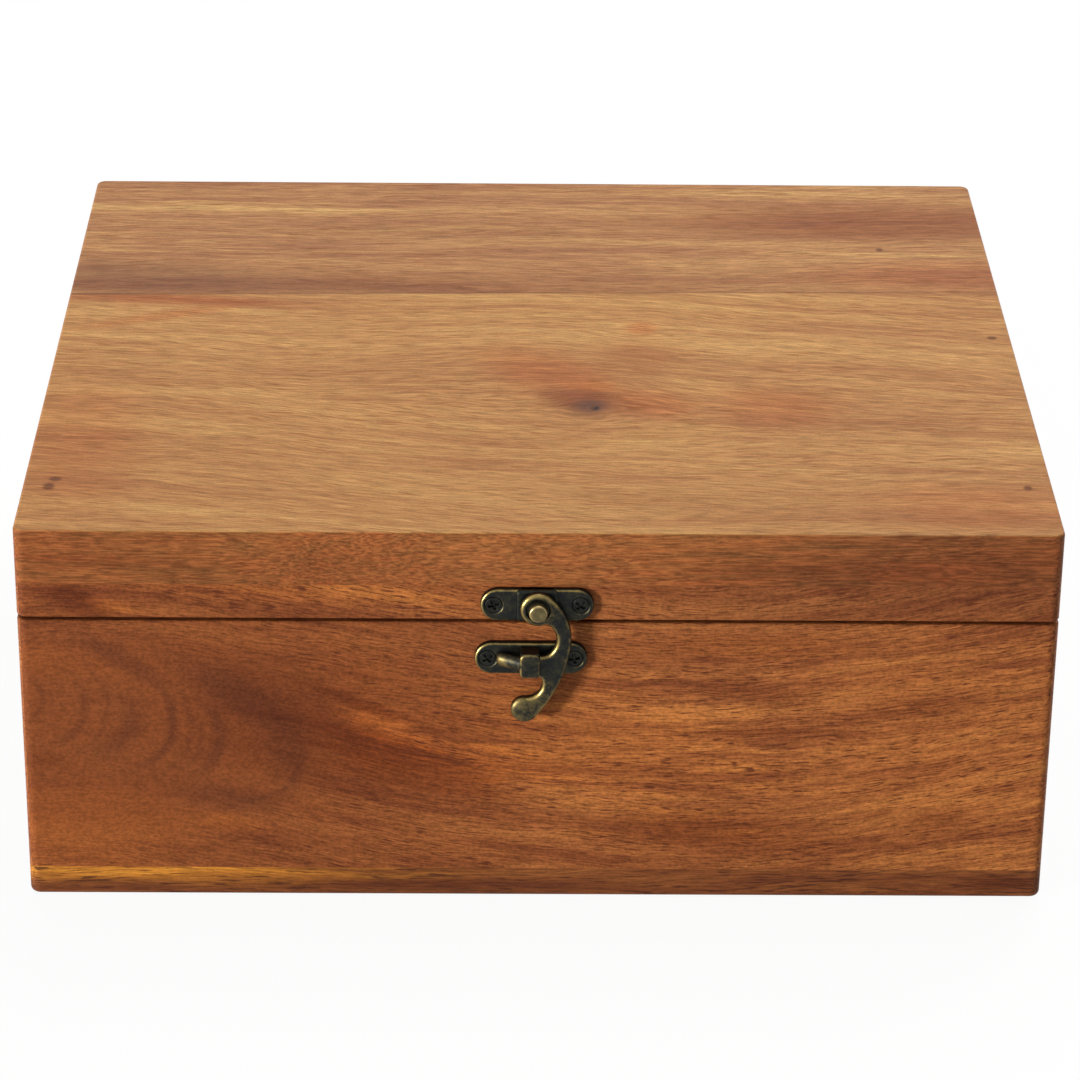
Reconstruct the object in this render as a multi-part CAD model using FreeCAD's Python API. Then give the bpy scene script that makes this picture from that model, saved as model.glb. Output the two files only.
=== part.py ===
"""A wooden keepsake box with a hinged lid and a swing-hook latch, in millimetres.

The origin is the centre of the base's underside. +Z is up, and the latch is on the front, which faces -Y.
The box is four mitred walls glued on a bottom board. The lid is a low mitred frame under a thick top, which is
two boards glued edge to edge. Two surface hinges carry the lid at the back.
"""

import FreeCAD, Part

import math
import os

from FreeCAD import Placement, Rotation, Vector

# Overall sizes of the wood
BOX_WIDTH = 250.0
BOX_DEPTH = 230.0
BOX_HEIGHT = 100.0
WALL_THICKNESS = 12.0
BOTTOM_BOARD_THICKNESS = 8.0
TOP_BOARD_THICKNESS = 14.0
LID_FRAME_HEIGHT = 9.1
LID_GAP = 0.8
TOP_GLUE_LINE_Y = 32.8
TOP_GLUE_LINE_SKEW_DEG = 1.2

# Easing of the wood's edges
CORNER_RADIUS = 2.5
TOP_EDGE_RADIUS = 0.7
FOOT_EDGE_RADIUS = 1.4
RIM_EDGE_RADIUS = 0.5

# Countersunk wood screws
SCREW_HEAD_RADIUS = 2.0
SCREW_HEAD_RIM = 0.15
SCREW_THREAD_RADIUS = 1.1
SCREW_ROOT_RADIUS = 0.82
SCREW_PITCH = 0.9
SCREW_TIP_LENGTH = 1.6
SCREW_POINT_RADIUS = 0.15
SCREW_LENGTH = 9.5
SCREW_PASS_CLEARANCE = 0.2
RECESS_REACH = 1.3
RECESS_SLOT_WIDTH = 0.55
RECESS_DEPTH = 1.0
RECESS_FLOOR_RADIUS = 0.45
PILOT_SPARE_DEPTH = 0.4

# Latch plates, one on the lid and one on the base
PLATE_LENGTH = 27.1
PLATE_HEIGHT = 8.3
PLATE_THICKNESS = 1.8
PLATE_EDGE_RADIUS = 0.6
PLATE_SCREW_SPACING = 20.8
LATCH_X = -0.45
LATCH_PLATE_RISE = 5.1
BOSS_WIDTH = 10.0
BOSS_RISE = 0.5
PIVOT_RADIUS = 1.5
PIVOT_OFF_PLATE_CENTRE = 0.25
PIVOT_PAD_MARGIN = 0.9
PIVOT_PAD_RISE = 0.35

# Swing hook, with its points measured from its pivot
HOOK_THICKNESS = 1.9
HOOK_EDGE_RADIUS = 0.55
HOOK_FACE_CLEARANCE = 0.1
PIVOT_CLEARANCE = 0.06
EYE_RADIUS = 4.3
EYE_RECESS_CLEARANCE = 0.5
EYE_RECESS_DEPTH = 0.7
EYE_TO_ARM_DEG = 50.0
BEND_REACH = 7.95
BEND_DROP = 9.5
LOWER_ARM_RADIUS = 35.5
INSIDE_RADIUS = 4.95
INSIDE_X = -0.5
INSIDE_DROP = 8.0
TONGUE_TOP_RISE = 1.95
TONGUE_HEIGHT = 5.75
TONGUE_REACH = 3.4
TONGUE_TIP_RADIUS = 1.4
BALL_RADIUS = 3.35
ARM_TO_BALL_DEG = -40.9
NOTCH_RADIUS = 3.8
BALL_TO_NOTCH_DEG = 87.0
INSIDE_CORNER_RADIUS = 0.7

# Rivet that the hook turns on
RIVET_HEAD_OVERHANG = 0.75
RIVET_HEAD_HEIGHT = 2.8
RIVET_HEAD_EDGE_RADIUS = 0.7
RIVET_TAIL_FLARE = 0.6
RIVET_TAIL_DEPTH = 0.6

# Catch that holds the hook's tongue
CATCH_X = -1.8
CATCH_DROP = 14.3
CATCH_SLOT_CLEARANCE = 0.35
CATCH_RIB_CLEARANCE = 0.15
TAB_WIDTH = 5.0
TAB_HEIGHT = 6.4
TAB_THICKNESS = 1.7
TAB_X = -2.1
TAB_RISE = 0.2
TAB_CORNER_RADIUS = 0.9
TAB_EDGE_RADIUS = 0.45
NECK_HEIGHT = 2.4
NECK_REACH = 5.7
NECK_THICKNESS = 1.75
NECK_RISE_ABOVE_CENTRE = 0.5

# Hinges
HINGE_LENGTH = 28.0
HINGE_X = 76.0
HINGE_SHEET = 0.9
HINGE_PIN_RADIUS = 0.7
HINGE_PIN_CLEARANCE = 0.06
HINGE_PIN_HEAD_OVERHANG = 0.45
HINGE_PIN_HEAD_HEIGHT = 0.5
HINGE_OFF_WOOD = 0.15
KNUCKLE_COUNT = 5
KNUCKLE_GAP = 0.2
LEAF_HEIGHT = 9.2
LEAF_CORNER_RADIUS = 1.4
LEAF_CLEAR_OF_KNUCKLE = 0.35
LEAF_SCREW_SPACING = 18.0

# Places worked out from the sizes above
FRONT_Y = -BOX_DEPTH / 2
BACK_Y = BOX_DEPTH / 2
TOP_Z = BOX_HEIGHT - TOP_BOARD_THICKNESS
LID_RIM_Z = TOP_Z - LID_FRAME_HEIGHT
BASE_RIM_Z = LID_RIM_Z - LID_GAP
HINGE_AXIS_Z = (LID_RIM_Z + BASE_RIM_Z) / 2
KNUCKLE_RADIUS = HINGE_PIN_RADIUS + HINGE_SHEET
HINGE_PIN_HEAD_RADIUS = HINGE_PIN_RADIUS + HINGE_PIN_HEAD_OVERHANG
HINGE_AXIS_OUT = KNUCKLE_RADIUS + HINGE_OFF_WOOD
SCREW_PASS_RADIUS = SCREW_THREAD_RADIUS + SCREW_PASS_CLEARANCE
LATCH_PLATE_Z = HINGE_AXIS_Z + LATCH_PLATE_RISE
CATCH_PLATE_Z = LATCH_PLATE_Z - CATCH_DROP
PIVOT_X = LATCH_X + PIVOT_OFF_PLATE_CENTRE
PIVOT_PAD_RADIUS = PIVOT_RADIUS + PIVOT_PAD_MARGIN
RIVET_HEAD_RADIUS = PIVOT_RADIUS + RIVET_HEAD_OVERHANG
RIVET_TAIL_RADIUS = PIVOT_RADIUS + RIVET_TAIL_FLARE
EYE_RECESS_RADIUS = RIVET_HEAD_RADIUS + EYE_RECESS_CLEARANCE
PAD_FACE = PLATE_THICKNESS + BOSS_RISE + PIVOT_PAD_RISE
HOOK_BACK = PAD_FACE + HOOK_FACE_CLEARANCE
HOOK_FACE = HOOK_BACK + HOOK_THICKNESS
TAB_BACK = HOOK_FACE + CATCH_SLOT_CLEARANCE
TAB_FACE = TAB_BACK + TAB_THICKNESS
SMALL = 1e-4


def box_between(low, high):
    """A plain block from its lowest to its highest corner."""
    size = [b - a for a, b in zip(low, high)]
    return Part.makeBox(*size, Vector(*low))


def prism(wire, height):
    """A closed flat wire at z = 0, raised to a height."""
    return Part.Face(wire).extrude(Vector(0, 0, height))


def polygon_prism(points, z0, z1):
    """An upright prism over a polygon of (x, y) points."""
    corners = [Vector(x, y, z0) for x, y in points]
    return Part.Face(Part.makePolygon(corners + corners[:1])).extrude(Vector(0, 0, z1 - z0))


def edges_at(shape, test):
    """The shape's edges whose middle point passes a test."""
    found = []
    for edge in shape.Edges:
        middle = edge.valueAt((edge.FirstParameter + edge.LastParameter) / 2)
        if test(middle):
            found.append(edge)
    return found


def rounded_block(width, depth, radius, z0, z1):
    """An upright block with rounded vertical corners, centred on the Z axis."""
    block = box_between((-width / 2, -depth / 2, z0), (width / 2, depth / 2, z1))
    corners = [e for e in block.Edges if abs(e.tangentAt(e.FirstParameter).z) > 0.9]
    return block.makeFillet(radius, corners)


def ease(shape, z, radius):
    """Rounds the edges that lie at one height."""
    return shape.makeFillet(radius, edges_at(shape, lambda p: abs(p.z - z) < SMALL))


def on_front(shape, x, z):
    """Places a piece modelled flat, with local z pointing outwards, on the front face."""
    return placed(shape, Placement(Vector(x, FRONT_Y, z), Rotation(Vector(1, 0, 0), 90)))


def on_back(shape, x, z, upside_down=False):
    """The same on the back face, where local x points to -X, or to +X if the piece is turned over."""
    turn = Rotation(Vector(0, 0, 1), 180).multiply(Rotation(Vector(1, 0, 0), 90))
    if upside_down:
        turn = turn.multiply(Rotation(Vector(0, 0, 1), 180))
    return placed(shape, Placement(Vector(x, BACK_Y, z), turn))


def placed(shape, placement):
    """A moved copy of a shape."""
    copy = shape.copy()
    copy.Placement = placement.multiply(copy.Placement)
    return copy


def group(shapes):
    """Identical separate pieces kept together as one node."""
    return Part.makeCompound(shapes)


def half_spread(spacing):
    """The two places, left and right, of a pair with this spacing."""
    return (-spacing / 2, spacing / 2)


# Wood screws

def screw_head_profile(radius_where_it_ends):
    """Radius and depth points of the countersunk head, down to a smaller radius."""
    cone_depth = SCREW_HEAD_RIM + SCREW_HEAD_RADIUS - radius_where_it_ends
    return [(0, 0), (SCREW_HEAD_RADIUS, 0), (SCREW_HEAD_RADIUS, -SCREW_HEAD_RIM), (radius_where_it_ends, -cone_depth)]


def turned(profile):
    """A solid of revolution about local z from (radius, z) points that start and end on the axis."""
    points = [Vector(r, 0, z) for r, z in profile]
    return Part.Face(Part.makePolygon(points + points[:1])).revolve(Vector(0, 0, 0), Vector(0, 0, 1), 360)


def cross_recess():
    """The cross-shaped driver recess, narrower towards its floor."""
    cone = Part.makeCone(RECESS_FLOOR_RADIUS, RECESS_REACH, RECESS_DEPTH, Vector(0, 0, -RECESS_DEPTH))
    reach, half = RECESS_REACH, RECESS_SLOT_WIDTH / 2
    along = box_between((-reach, -half, -RECESS_DEPTH), (reach, half, 0))
    across = box_between((-half, -reach, -RECESS_DEPTH), (half, reach, 0))
    return along.fuse(across).common(cone)


def wood_screw():
    """One screw with its head's face at local z = 0 and its point towards -z."""
    profile = screw_head_profile(SCREW_ROOT_RADIUS)
    depth = -profile[-1][1]
    thread_end = SCREW_LENGTH - SCREW_TIP_LENGTH
    turns = int((thread_end - depth) / SCREW_PITCH)
    for turn in range(turns):
        crest = depth + (turn + 0.5) * SCREW_PITCH
        profile.append((SCREW_THREAD_RADIUS, -crest))
        profile.append((SCREW_ROOT_RADIUS, -(depth + (turn + 1) * SCREW_PITCH)))
    profile += [(SCREW_POINT_RADIUS, -SCREW_LENGTH), (0, -SCREW_LENGTH)]
    return turned(profile).cut(cross_recess())


def pilot_hole(seat_depth):
    """The hole in the wood for a screw whose head's face is seat_depth outside it, with room for the head's cone."""
    depth = SCREW_LENGTH - seat_depth + PILOT_SPARE_DEPTH
    profile = screw_head_profile(SCREW_THREAD_RADIUS)
    profile += [(SCREW_THREAD_RADIUS, -depth - seat_depth), (0, -depth - seat_depth)]
    return at(turned(profile), 0, 0, seat_depth)


def screw_seat(face):
    """The countersunk hole through a plate whose face is at local z = face."""
    profile = screw_head_profile(SCREW_PASS_RADIUS)
    profile += [(SCREW_PASS_RADIUS, -face), (0, -face)]
    hole = turned(profile)
    hole.translate(Vector(0, 0, face))
    return hole


def at(shape, x, y, z=0):
    """A copy moved within the local frame."""
    copy = shape.copy()
    copy.translate(Vector(x, y, z))
    return copy


# Wooden parts

def wall_ring(z0, z1, eased_z, other_edge):
    """A closed ring of wall with rounded corners and an eased rim at eased_z. other_edge is (z, radius) or None."""
    outer = rounded_block(BOX_WIDTH, BOX_DEPTH, CORNER_RADIUS, z0, z1)
    outer = ease(outer, eased_z, RIM_EDGE_RADIUS)
    if other_edge:
        outer = ease(outer, *other_edge)
    half_x, half_y = BOX_WIDTH / 2 - WALL_THICKNESS, BOX_DEPTH / 2 - WALL_THICKNESS
    ring = outer.cut(box_between((-half_x, -half_y, z0), (half_x, half_y, z1)))
    inner_rim = edges_at(
        ring,
        lambda p: abs(p.z - eased_z) < SMALL and abs(p.x) < half_x + SMALL and abs(p.y) < half_y + SMALL,
    )
    return ring.makeFillet(RIM_EDGE_RADIUS, inner_rim)


def mitre_wedge(side, z0, z1):
    """The space of one wall between its two mitre cuts, with side front, back, left or right."""
    x, y, t = BOX_WIDTH / 2, BOX_DEPTH / 2, WALL_THICKNESS
    outside = WALL_THICKNESS
    far_x, far_y, near_x, near_y = x + outside, y + outside, x - t, y - t
    plans = {
        "front": [(-far_x, -far_y), (far_x, -far_y), (near_x, -near_y), (-near_x, -near_y)],
        "back": [(far_x, far_y), (-far_x, far_y), (-near_x, near_y), (near_x, near_y)],
        "left": [(-far_x, far_y), (-far_x, -far_y), (-near_x, -near_y), (-near_x, near_y)],
        "right": [(far_x, -far_y), (far_x, far_y), (near_x, near_y), (near_x, -near_y)],
    }
    return polygon_prism(plans[side], z0, z1)


def mitred_walls(ring, z0, z1, holes):
    """The ring cut at its mitres into four walls, with holes[side] taken out of them."""
    walls = {}
    for side in ("front", "back", "left", "right"):
        wall = ring.common(mitre_wedge(side, z0, z1))
        for hole in holes.get(side, []):
            wall = wall.cut(hole)
        walls[side] = wall
    return walls


def bottom_board():
    """The board that the walls stand on, as wide and deep as the box."""
    board = rounded_block(BOX_WIDTH, BOX_DEPTH, CORNER_RADIUS, 0, BOTTOM_BOARD_THICKNESS)
    return ease(board, 0, FOOT_EDGE_RADIUS)


def top_boards():
    """The lid's top, cut along its slightly skewed glue line into a front and a back board."""
    slab = ease(rounded_block(BOX_WIDTH, BOX_DEPTH, CORNER_RADIUS, TOP_Z, BOX_HEIGHT), BOX_HEIGHT, TOP_EDGE_RADIUS)
    reach = BOX_WIDTH + BOX_DEPTH
    behind = box_between((-reach, 0, 0), (reach, reach, BOX_HEIGHT))
    turn = Rotation(Vector(0, 0, 1), TOP_GLUE_LINE_SKEW_DEG)
    behind.Placement = Placement(Vector(0, TOP_GLUE_LINE_Y, 0), turn)
    return slab.cut(behind), slab.common(behind)


# Latch

def latch_plate_blank():
    """A flat plate with round ends and an eased front edge, its back at local z = 0."""
    radius = PLATE_HEIGHT / 2
    straight = PLATE_LENGTH / 2 - radius
    left, right = Vector(-straight, 0, 0), Vector(straight, 0, 0)
    up, down = Vector(0, radius, 0), Vector(0, -radius, 0)
    wire = Part.Wire(
        [
            Part.makeLine(left + down, right + down),
            Part.Arc(right + down, right + Vector(radius, 0, 0), right + up).toShape(),
            Part.makeLine(right + up, left + up),
            Part.Arc(left + up, left - Vector(radius, 0, 0), left + down).toShape(),
        ]
    )
    return ease(prism(wire, PLATE_THICKNESS), PLATE_THICKNESS, PLATE_EDGE_RADIUS)


def latch_plate():
    """The lid's plate, with a raised middle and a round pad that the hook turns on."""
    face = PLATE_THICKNESS + BOSS_RISE
    boss = box_between((-BOSS_WIDTH / 2, -PLATE_HEIGHT / 2, 0), (BOSS_WIDTH / 2, PLATE_HEIGHT / 2, face))
    boss = ease(boss, face, PLATE_EDGE_RADIUS)
    pivot = Vector(PIVOT_OFF_PLATE_CENTRE, 0, 0)
    pad = Part.makeCylinder(PIVOT_PAD_RADIUS, PAD_FACE, pivot)
    plate = latch_plate_blank().fuse(boss).fuse(pad).removeSplitter()
    plate = plate.cut(Part.makeCylinder(PIVOT_RADIUS, PAD_FACE, pivot))
    plate = plate.cut(Part.makeCone(RIVET_TAIL_RADIUS, PIVOT_RADIUS, RIVET_TAIL_DEPTH, pivot))
    for x in half_spread(PLATE_SCREW_SPACING):
        plate = plate.cut(at(screw_seat(PLATE_THICKNESS), x, 0))
    return plate


def pivot_rivet():
    """The rivet through the plate and the hook's eye, with a round-edged head and a flared tail."""
    underside = HOOK_FACE - EYE_RECESS_DEPTH + HOOK_FACE_CLEARANCE
    crown = underside + RIVET_HEAD_HEIGHT
    head = Part.makeCylinder(RIVET_HEAD_RADIUS, RIVET_HEAD_HEIGHT, Vector(0, 0, underside))
    shank = Part.makeCylinder(PIVOT_RADIUS, underside)
    tail = Part.makeCone(RIVET_TAIL_RADIUS, PIVOT_RADIUS, RIVET_TAIL_DEPTH)
    return ease(head, crown, RIVET_HEAD_EDGE_RADIUS).fuse(shank).fuse(tail).removeSplitter()


def direction(degrees):
    """The unit vector at an angle from local x."""
    return Vector(math.cos(math.radians(degrees)), math.sin(math.radians(degrees)), 0)


def arc_between(centre, start, end):
    """The shorter arc about a centre from one of its points to another."""
    radius = (start - centre).Length
    middle = centre + ((start + end) / 2 - centre).normalize() * radius
    return Part.Arc(start, middle, end).toShape()


def right_crossing(centre, radius, height):
    """The right-hand point where a circle crosses a height."""
    return Vector(centre.x + math.sqrt(radius**2 - (height - centre.y) ** 2), height, 0)


def right_meeting(radius, other, other_radius):
    """The right-hand point where a circle about the origin meets another circle."""
    reach = other.Length
    along = (radius**2 - other_radius**2 + reach**2) / (2 * reach)
    aside = math.sqrt(radius**2 - along**2)
    line = other / reach
    return line * along + Vector(-line.y, line.x, 0) * aside


def hook_blank():
    """The hook's flat shape about its pivot at the origin: an eye, a bowed arm with a tongue, and a ball end.

    The arm's outer edge leaves the eye, passes the bend and reaches the ball in arcs that run smoothly into each
    other. Its inner edge is an arc under the eye, the tongue, and a notch that runs smoothly out of the ball.
    """
    eye_out = direction(EYE_TO_ARM_DEG) * EYE_RADIUS
    bend = Vector(BEND_REACH, -BEND_DROP, 0)
    spread = (bend.dot(bend) - EYE_RADIUS**2) / (2 * (EYE_RADIUS - bend.dot(direction(EYE_TO_ARM_DEG))))
    upper = direction(EYE_TO_ARM_DEG) * -spread
    lower = bend + (upper - bend).normalize() * LOWER_ARM_RADIUS
    ball = lower + direction(ARM_TO_BALL_DEG) * (LOWER_ARM_RADIUS - BALL_RADIUS)
    ball_out = lower + direction(ARM_TO_BALL_DEG) * LOWER_ARM_RADIUS
    ball_in = ball + direction(BALL_TO_NOTCH_DEG) * BALL_RADIUS
    notch = ball + direction(BALL_TO_NOTCH_DEG) * (BALL_RADIUS + NOTCH_RADIUS)
    tongue_top = -CATCH_DROP + TONGUE_TOP_RISE
    tongue_low = tongue_top - TONGUE_HEIGHT
    root_low = right_crossing(notch, NOTCH_RADIUS, tongue_low)
    tip_low, tip_top = Vector(-TONGUE_REACH, tongue_low, 0), Vector(-TONGUE_REACH, tongue_top, 0)
    inside = Vector(INSIDE_X, -INSIDE_DROP, 0)
    root_top = right_crossing(inside, INSIDE_RADIUS, tongue_top)
    eye_in = right_meeting(EYE_RADIUS, inside, INSIDE_RADIUS)
    outline = [
        arc_between(upper, eye_out, bend),
        arc_between(lower, bend, ball_out),
        Part.Arc(ball_out, ball - direction(ARM_TO_BALL_DEG / 2) * BALL_RADIUS, ball_in).toShape(),
        arc_between(notch, ball_in, root_low),
        Part.makeLine(root_low, tip_low),
        Part.makeLine(tip_low, tip_top),
        Part.makeLine(tip_top, root_top),
        arc_between(inside, root_top, eye_in),
        Part.Arc(eye_in, Vector(-EYE_RADIUS, 0, 0), eye_out).toShape(),
    ]
    blank = prism(Part.Wire(outline), HOOK_THICKNESS)
    for corner, radius in (
        (eye_in, INSIDE_CORNER_RADIUS),
        (root_top, INSIDE_CORNER_RADIUS),
        (root_low, INSIDE_CORNER_RADIUS),
        (tip_low, TONGUE_TIP_RADIUS),
        (tip_top, TONGUE_TIP_RADIUS),
    ):
        middle = corner + Vector(0, 0, HOOK_THICKNESS / 2)
        blank = blank.makeFillet(radius, edges_at(blank, lambda p: (p - middle).Length < SMALL))
    return blank


def swing_hook():
    """The hook with eased front edges, bored for the rivet and recessed round its head."""
    hook = ease(hook_blank(), HOOK_THICKNESS, HOOK_EDGE_RADIUS)
    hook.translate(Vector(0, 0, HOOK_BACK))
    floor = HOOK_FACE - EYE_RECESS_DEPTH
    bore = Part.makeCylinder(PIVOT_RADIUS + PIVOT_CLEARANCE, HOOK_FACE)
    recess = Part.makeCylinder(EYE_RECESS_RADIUS, EYE_RECESS_DEPTH, Vector(0, 0, floor))
    return hook.cut(bore).cut(recess)


def catch_neck(tab_left):
    """The curved horn that rises from the catch plate to the tab's left edge, as a profile across the plate."""
    start = tab_left - NECK_REACH
    inner_start = start + NECK_THICKNESS + 0.35
    end = tab_left + TAB_EDGE_RADIUS
    sunk = PLATE_THICKNESS / 2
    top = TAB_FACE - TAB_EDGE_RADIUS
    front_middle = Vector(start + 0.24 * (end - start), 0, sunk + 0.62 * (top - sunk))
    back_middle = Vector(inner_start + 0.34 * (end - inner_start), 0, sunk + 0.66 * (TAB_BACK - sunk))
    a, b = Vector(start, 0, sunk), Vector(end, 0, top)
    c, d = Vector(end, 0, TAB_BACK), Vector(inner_start, 0, sunk)
    wire = Part.Wire(
        [
            Part.Arc(a, front_middle, b).toShape(),
            Part.makeLine(b, c),
            Part.Arc(c, back_middle, d).toShape(),
            Part.makeLine(d, a),
        ]
    )
    neck = Part.Face(wire).extrude(Vector(0, NECK_HEIGHT, 0))
    long_edges = [e for e in neck.Edges if e.Curve.TypeId == "Part::GeomCircle"]
    neck = neck.makeFillet(TAB_EDGE_RADIUS, long_edges)
    neck.translate(Vector(0, NECK_RISE_ABOVE_CENTRE - NECK_HEIGHT / 2, 0))
    return neck


def catch_plate():
    """The base's plate with a tab held out in front of it by a curved neck and a rib.

    The tongue slides in behind the tab from the right. The rib is over the tongue, so it can't lift out.
    """
    x = TAB_X - CATCH_X
    tab = rounded_block(TAB_WIDTH, TAB_HEIGHT, TAB_CORNER_RADIUS, PLATE_THICKNESS / 2, TAB_FACE)
    tab = ease(tab, TAB_FACE, TAB_EDGE_RADIUS)
    rib_underside = TONGUE_TOP_RISE + CATCH_RIB_CLEARANCE - TAB_RISE
    tab = tab.cut(box_between((-TAB_WIDTH, -TAB_HEIGHT, 0), (TAB_WIDTH, rib_underside, TAB_BACK)))
    plate = latch_plate_blank()
    for screw_x in half_spread(PLATE_SCREW_SPACING):
        plate = plate.cut(at(screw_seat(PLATE_THICKNESS), screw_x, 0))
    return plate.fuse(catch_neck(x - TAB_WIDTH / 2)).fuse(at(tab, x, TAB_RISE))


# Hinges

def knuckle_spans(owner):
    """The stretches of the hinge line that one leaf's knuckles take: even ones on the base, odd ones on the lid."""
    pitch = HINGE_LENGTH / KNUCKLE_COUNT
    first = 0 if owner == "base" else 1
    spans = []
    for i in range(first, KNUCKLE_COUNT, 2):
        low = -HINGE_LENGTH / 2 + i * pitch + (KNUCKLE_GAP / 2 if i else 0)
        high = -HINGE_LENGTH / 2 + (i + 1) * pitch - (KNUCKLE_GAP / 2 if i < KNUCKLE_COUNT - 1 else 0)
        spans.append((low, high))
    return spans


def hinge_leaf(owner):
    """A leaf modelled upwards from the hinge line: a flat plate, and knuckles curled from it about local x."""
    start = KNUCKLE_RADIUS + LEAF_CLEAR_OF_KNUCKLE
    leaf = box_between((-HINGE_LENGTH / 2, start, 0), (HINGE_LENGTH / 2, LEAF_HEIGHT, HINGE_SHEET))
    far_corners = [
        e for e in leaf.Edges if abs(e.tangentAt(0).z) > 0.9 and abs(e.valueAt(0).y - LEAF_HEIGHT) < SMALL
    ]
    leaf = leaf.makeFillet(LEAF_CORNER_RADIUS, far_corners)
    bore_radius = HINGE_PIN_RADIUS + (HINGE_PIN_CLEARANCE if owner == "lid" else 0)
    along = Vector(1, 0, 0)
    for low, high in knuckle_spans(owner):
        web = box_between((low, 0, HINGE_OFF_WOOD), (high, start, HINGE_OFF_WOOD + HINGE_SHEET))
        knuckle = Part.makeCylinder(KNUCKLE_RADIUS, high - low, Vector(low, 0, HINGE_AXIS_OUT), along)
        leaf = leaf.fuse(web).fuse(knuckle)
    bore = Part.makeCylinder(bore_radius, HINGE_LENGTH, Vector(-HINGE_LENGTH / 2, 0, HINGE_AXIS_OUT), along)
    leaf = leaf.cut(bore).removeSplitter()
    for x in half_spread(LEAF_SCREW_SPACING):
        leaf = leaf.cut(at(screw_seat(HINGE_SHEET), x, leaf_screw_rise()))
    return leaf


def leaf_screw_rise():
    """How far the leaf's screws are from the hinge line: half way up its flat part."""
    return (KNUCKLE_RADIUS + LEAF_CLEAR_OF_KNUCKLE + LEAF_HEIGHT) / 2


def hinge_pin():
    """The pin along local x, with a domed head at each end."""
    along = Vector(1, 0, 0)
    half = HINGE_LENGTH / 2
    pin = Part.makeCylinder(HINGE_PIN_RADIUS, HINGE_LENGTH, Vector(-half, 0, 0), along)
    for sign in (-1, 1):
        head = Part.makeCone(
            HINGE_PIN_HEAD_RADIUS,
            HINGE_PIN_RADIUS,
            HINGE_PIN_HEAD_HEIGHT,
            Vector(sign * half, 0, 0),
            Vector(sign, 0, 0),
        )
        pin = pin.fuse(head)
    return at(pin, 0, 0, HINGE_AXIS_OUT)


def hinge_nodes(nodes, side, x):
    """One hinge's leaves, pin and screws."""
    for owner, upside_down in (("base", True), ("lid", False)):
        nodes[f"{side}_hinge_{owner}_leaf"] = on_back(hinge_leaf(owner), x, HINGE_AXIS_Z, upside_down)
        screws = [at(wood_screw(), sx, leaf_screw_rise(), HINGE_SHEET) for sx in half_spread(LEAF_SCREW_SPACING)]
        nodes[f"{side}_hinge_{owner}_screws"] = group(
            [on_back(screw, x, HINGE_AXIS_Z, upside_down) for screw in screws]
        )
    nodes[f"{side}_hinge_pin"] = on_back(hinge_pin(), x, HINGE_AXIS_Z)


def hinge_pilot_holes(upside_down):
    """The pilot holes of both hinges in the lid's or the base's back wall."""
    holes = []
    for x in (-HINGE_X, HINGE_X):
        for screw_x in half_spread(LEAF_SCREW_SPACING):
            hole = at(pilot_hole(HINGE_SHEET), screw_x, leaf_screw_rise())
            holes.append(on_back(hole, x, HINGE_AXIS_Z, upside_down))
    return holes


def plate_pilot_holes(x, z):
    """The two pilot holes behind a latch plate."""
    hole = pilot_hole(PLATE_THICKNESS)
    return [on_front(hole, x + screw_x, z) for screw_x in half_spread(PLATE_SCREW_SPACING)]


def plate_screws(x, z):
    """The two screws of a latch plate, their heads flush with its face."""
    screw = at(wood_screw(), 0, 0, PLATE_THICKNESS)
    return group([on_front(screw, x + screw_x, z) for screw_x in half_spread(PLATE_SCREW_SPACING)])


def build():
    """Every node of the box, by name."""
    nodes = {"bottom_board": bottom_board()}
    base_holes = {"front": plate_pilot_holes(CATCH_X, CATCH_PLATE_Z), "back": hinge_pilot_holes(True)}
    base_ring = wall_ring(BOTTOM_BOARD_THICKNESS, BASE_RIM_Z, BASE_RIM_Z, None)
    for side, wall in mitred_walls(base_ring, BOTTOM_BOARD_THICKNESS, BASE_RIM_Z, base_holes).items():
        nodes[f"base_{side}_wall"] = wall
    lid_holes = {"front": plate_pilot_holes(LATCH_X, LATCH_PLATE_Z), "back": hinge_pilot_holes(False)}
    lid_ring = wall_ring(LID_RIM_Z, TOP_Z, LID_RIM_Z, None)
    for side, wall in mitred_walls(lid_ring, LID_RIM_Z, TOP_Z, lid_holes).items():
        nodes[f"lid_{side}_rail"] = wall
    nodes["lid_top_front_board"], nodes["lid_top_back_board"] = top_boards()
    nodes["latch_plate"] = on_front(latch_plate(), LATCH_X, LATCH_PLATE_Z)
    nodes["latch_plate_screws"] = plate_screws(LATCH_X, LATCH_PLATE_Z)
    nodes["latch_pivot_rivet"] = on_front(pivot_rivet(), PIVOT_X, LATCH_PLATE_Z)
    nodes["latch_swing_hook"] = on_front(swing_hook(), PIVOT_X, LATCH_PLATE_Z)
    nodes["catch_plate"] = on_front(catch_plate(), CATCH_X, CATCH_PLATE_Z)
    nodes["catch_plate_screws"] = plate_screws(CATCH_X, CATCH_PLATE_Z)
    hinge_nodes(nodes, "left", -HINGE_X)
    hinge_nodes(nodes, "right", HINGE_X)
    return nodes


os.makedirs("parts", exist_ok=True)
for name, shape in build().items():
    shape.exportStep(f"parts/{name}.step")
    print(f"{name}: {len(shape.Solids)} solid(s), {shape.Volume:.1f} mm3, valid {shape.isValid()}")
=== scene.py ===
# %% [markdown] # A keepsake box with a swing-hook latch  The box is reddish-brown hardwood, a little shorter than a
# sheet of paper is long, with a small latch of antique bronze. The solid model already has every board, plate and
# screw at its real size, so this script has two jobs: it gives the wood and the metal their looks, and it replaces
# the small castings with smoother ones. Everything after that is in metres, in the model's own frame: Z is up and the
# latch faces -Y.

import bmesh
import bpy
import numpy as np
from mathutils import Matrix, Vector
from mathutils.geometry import tessellate_polygon


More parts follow.
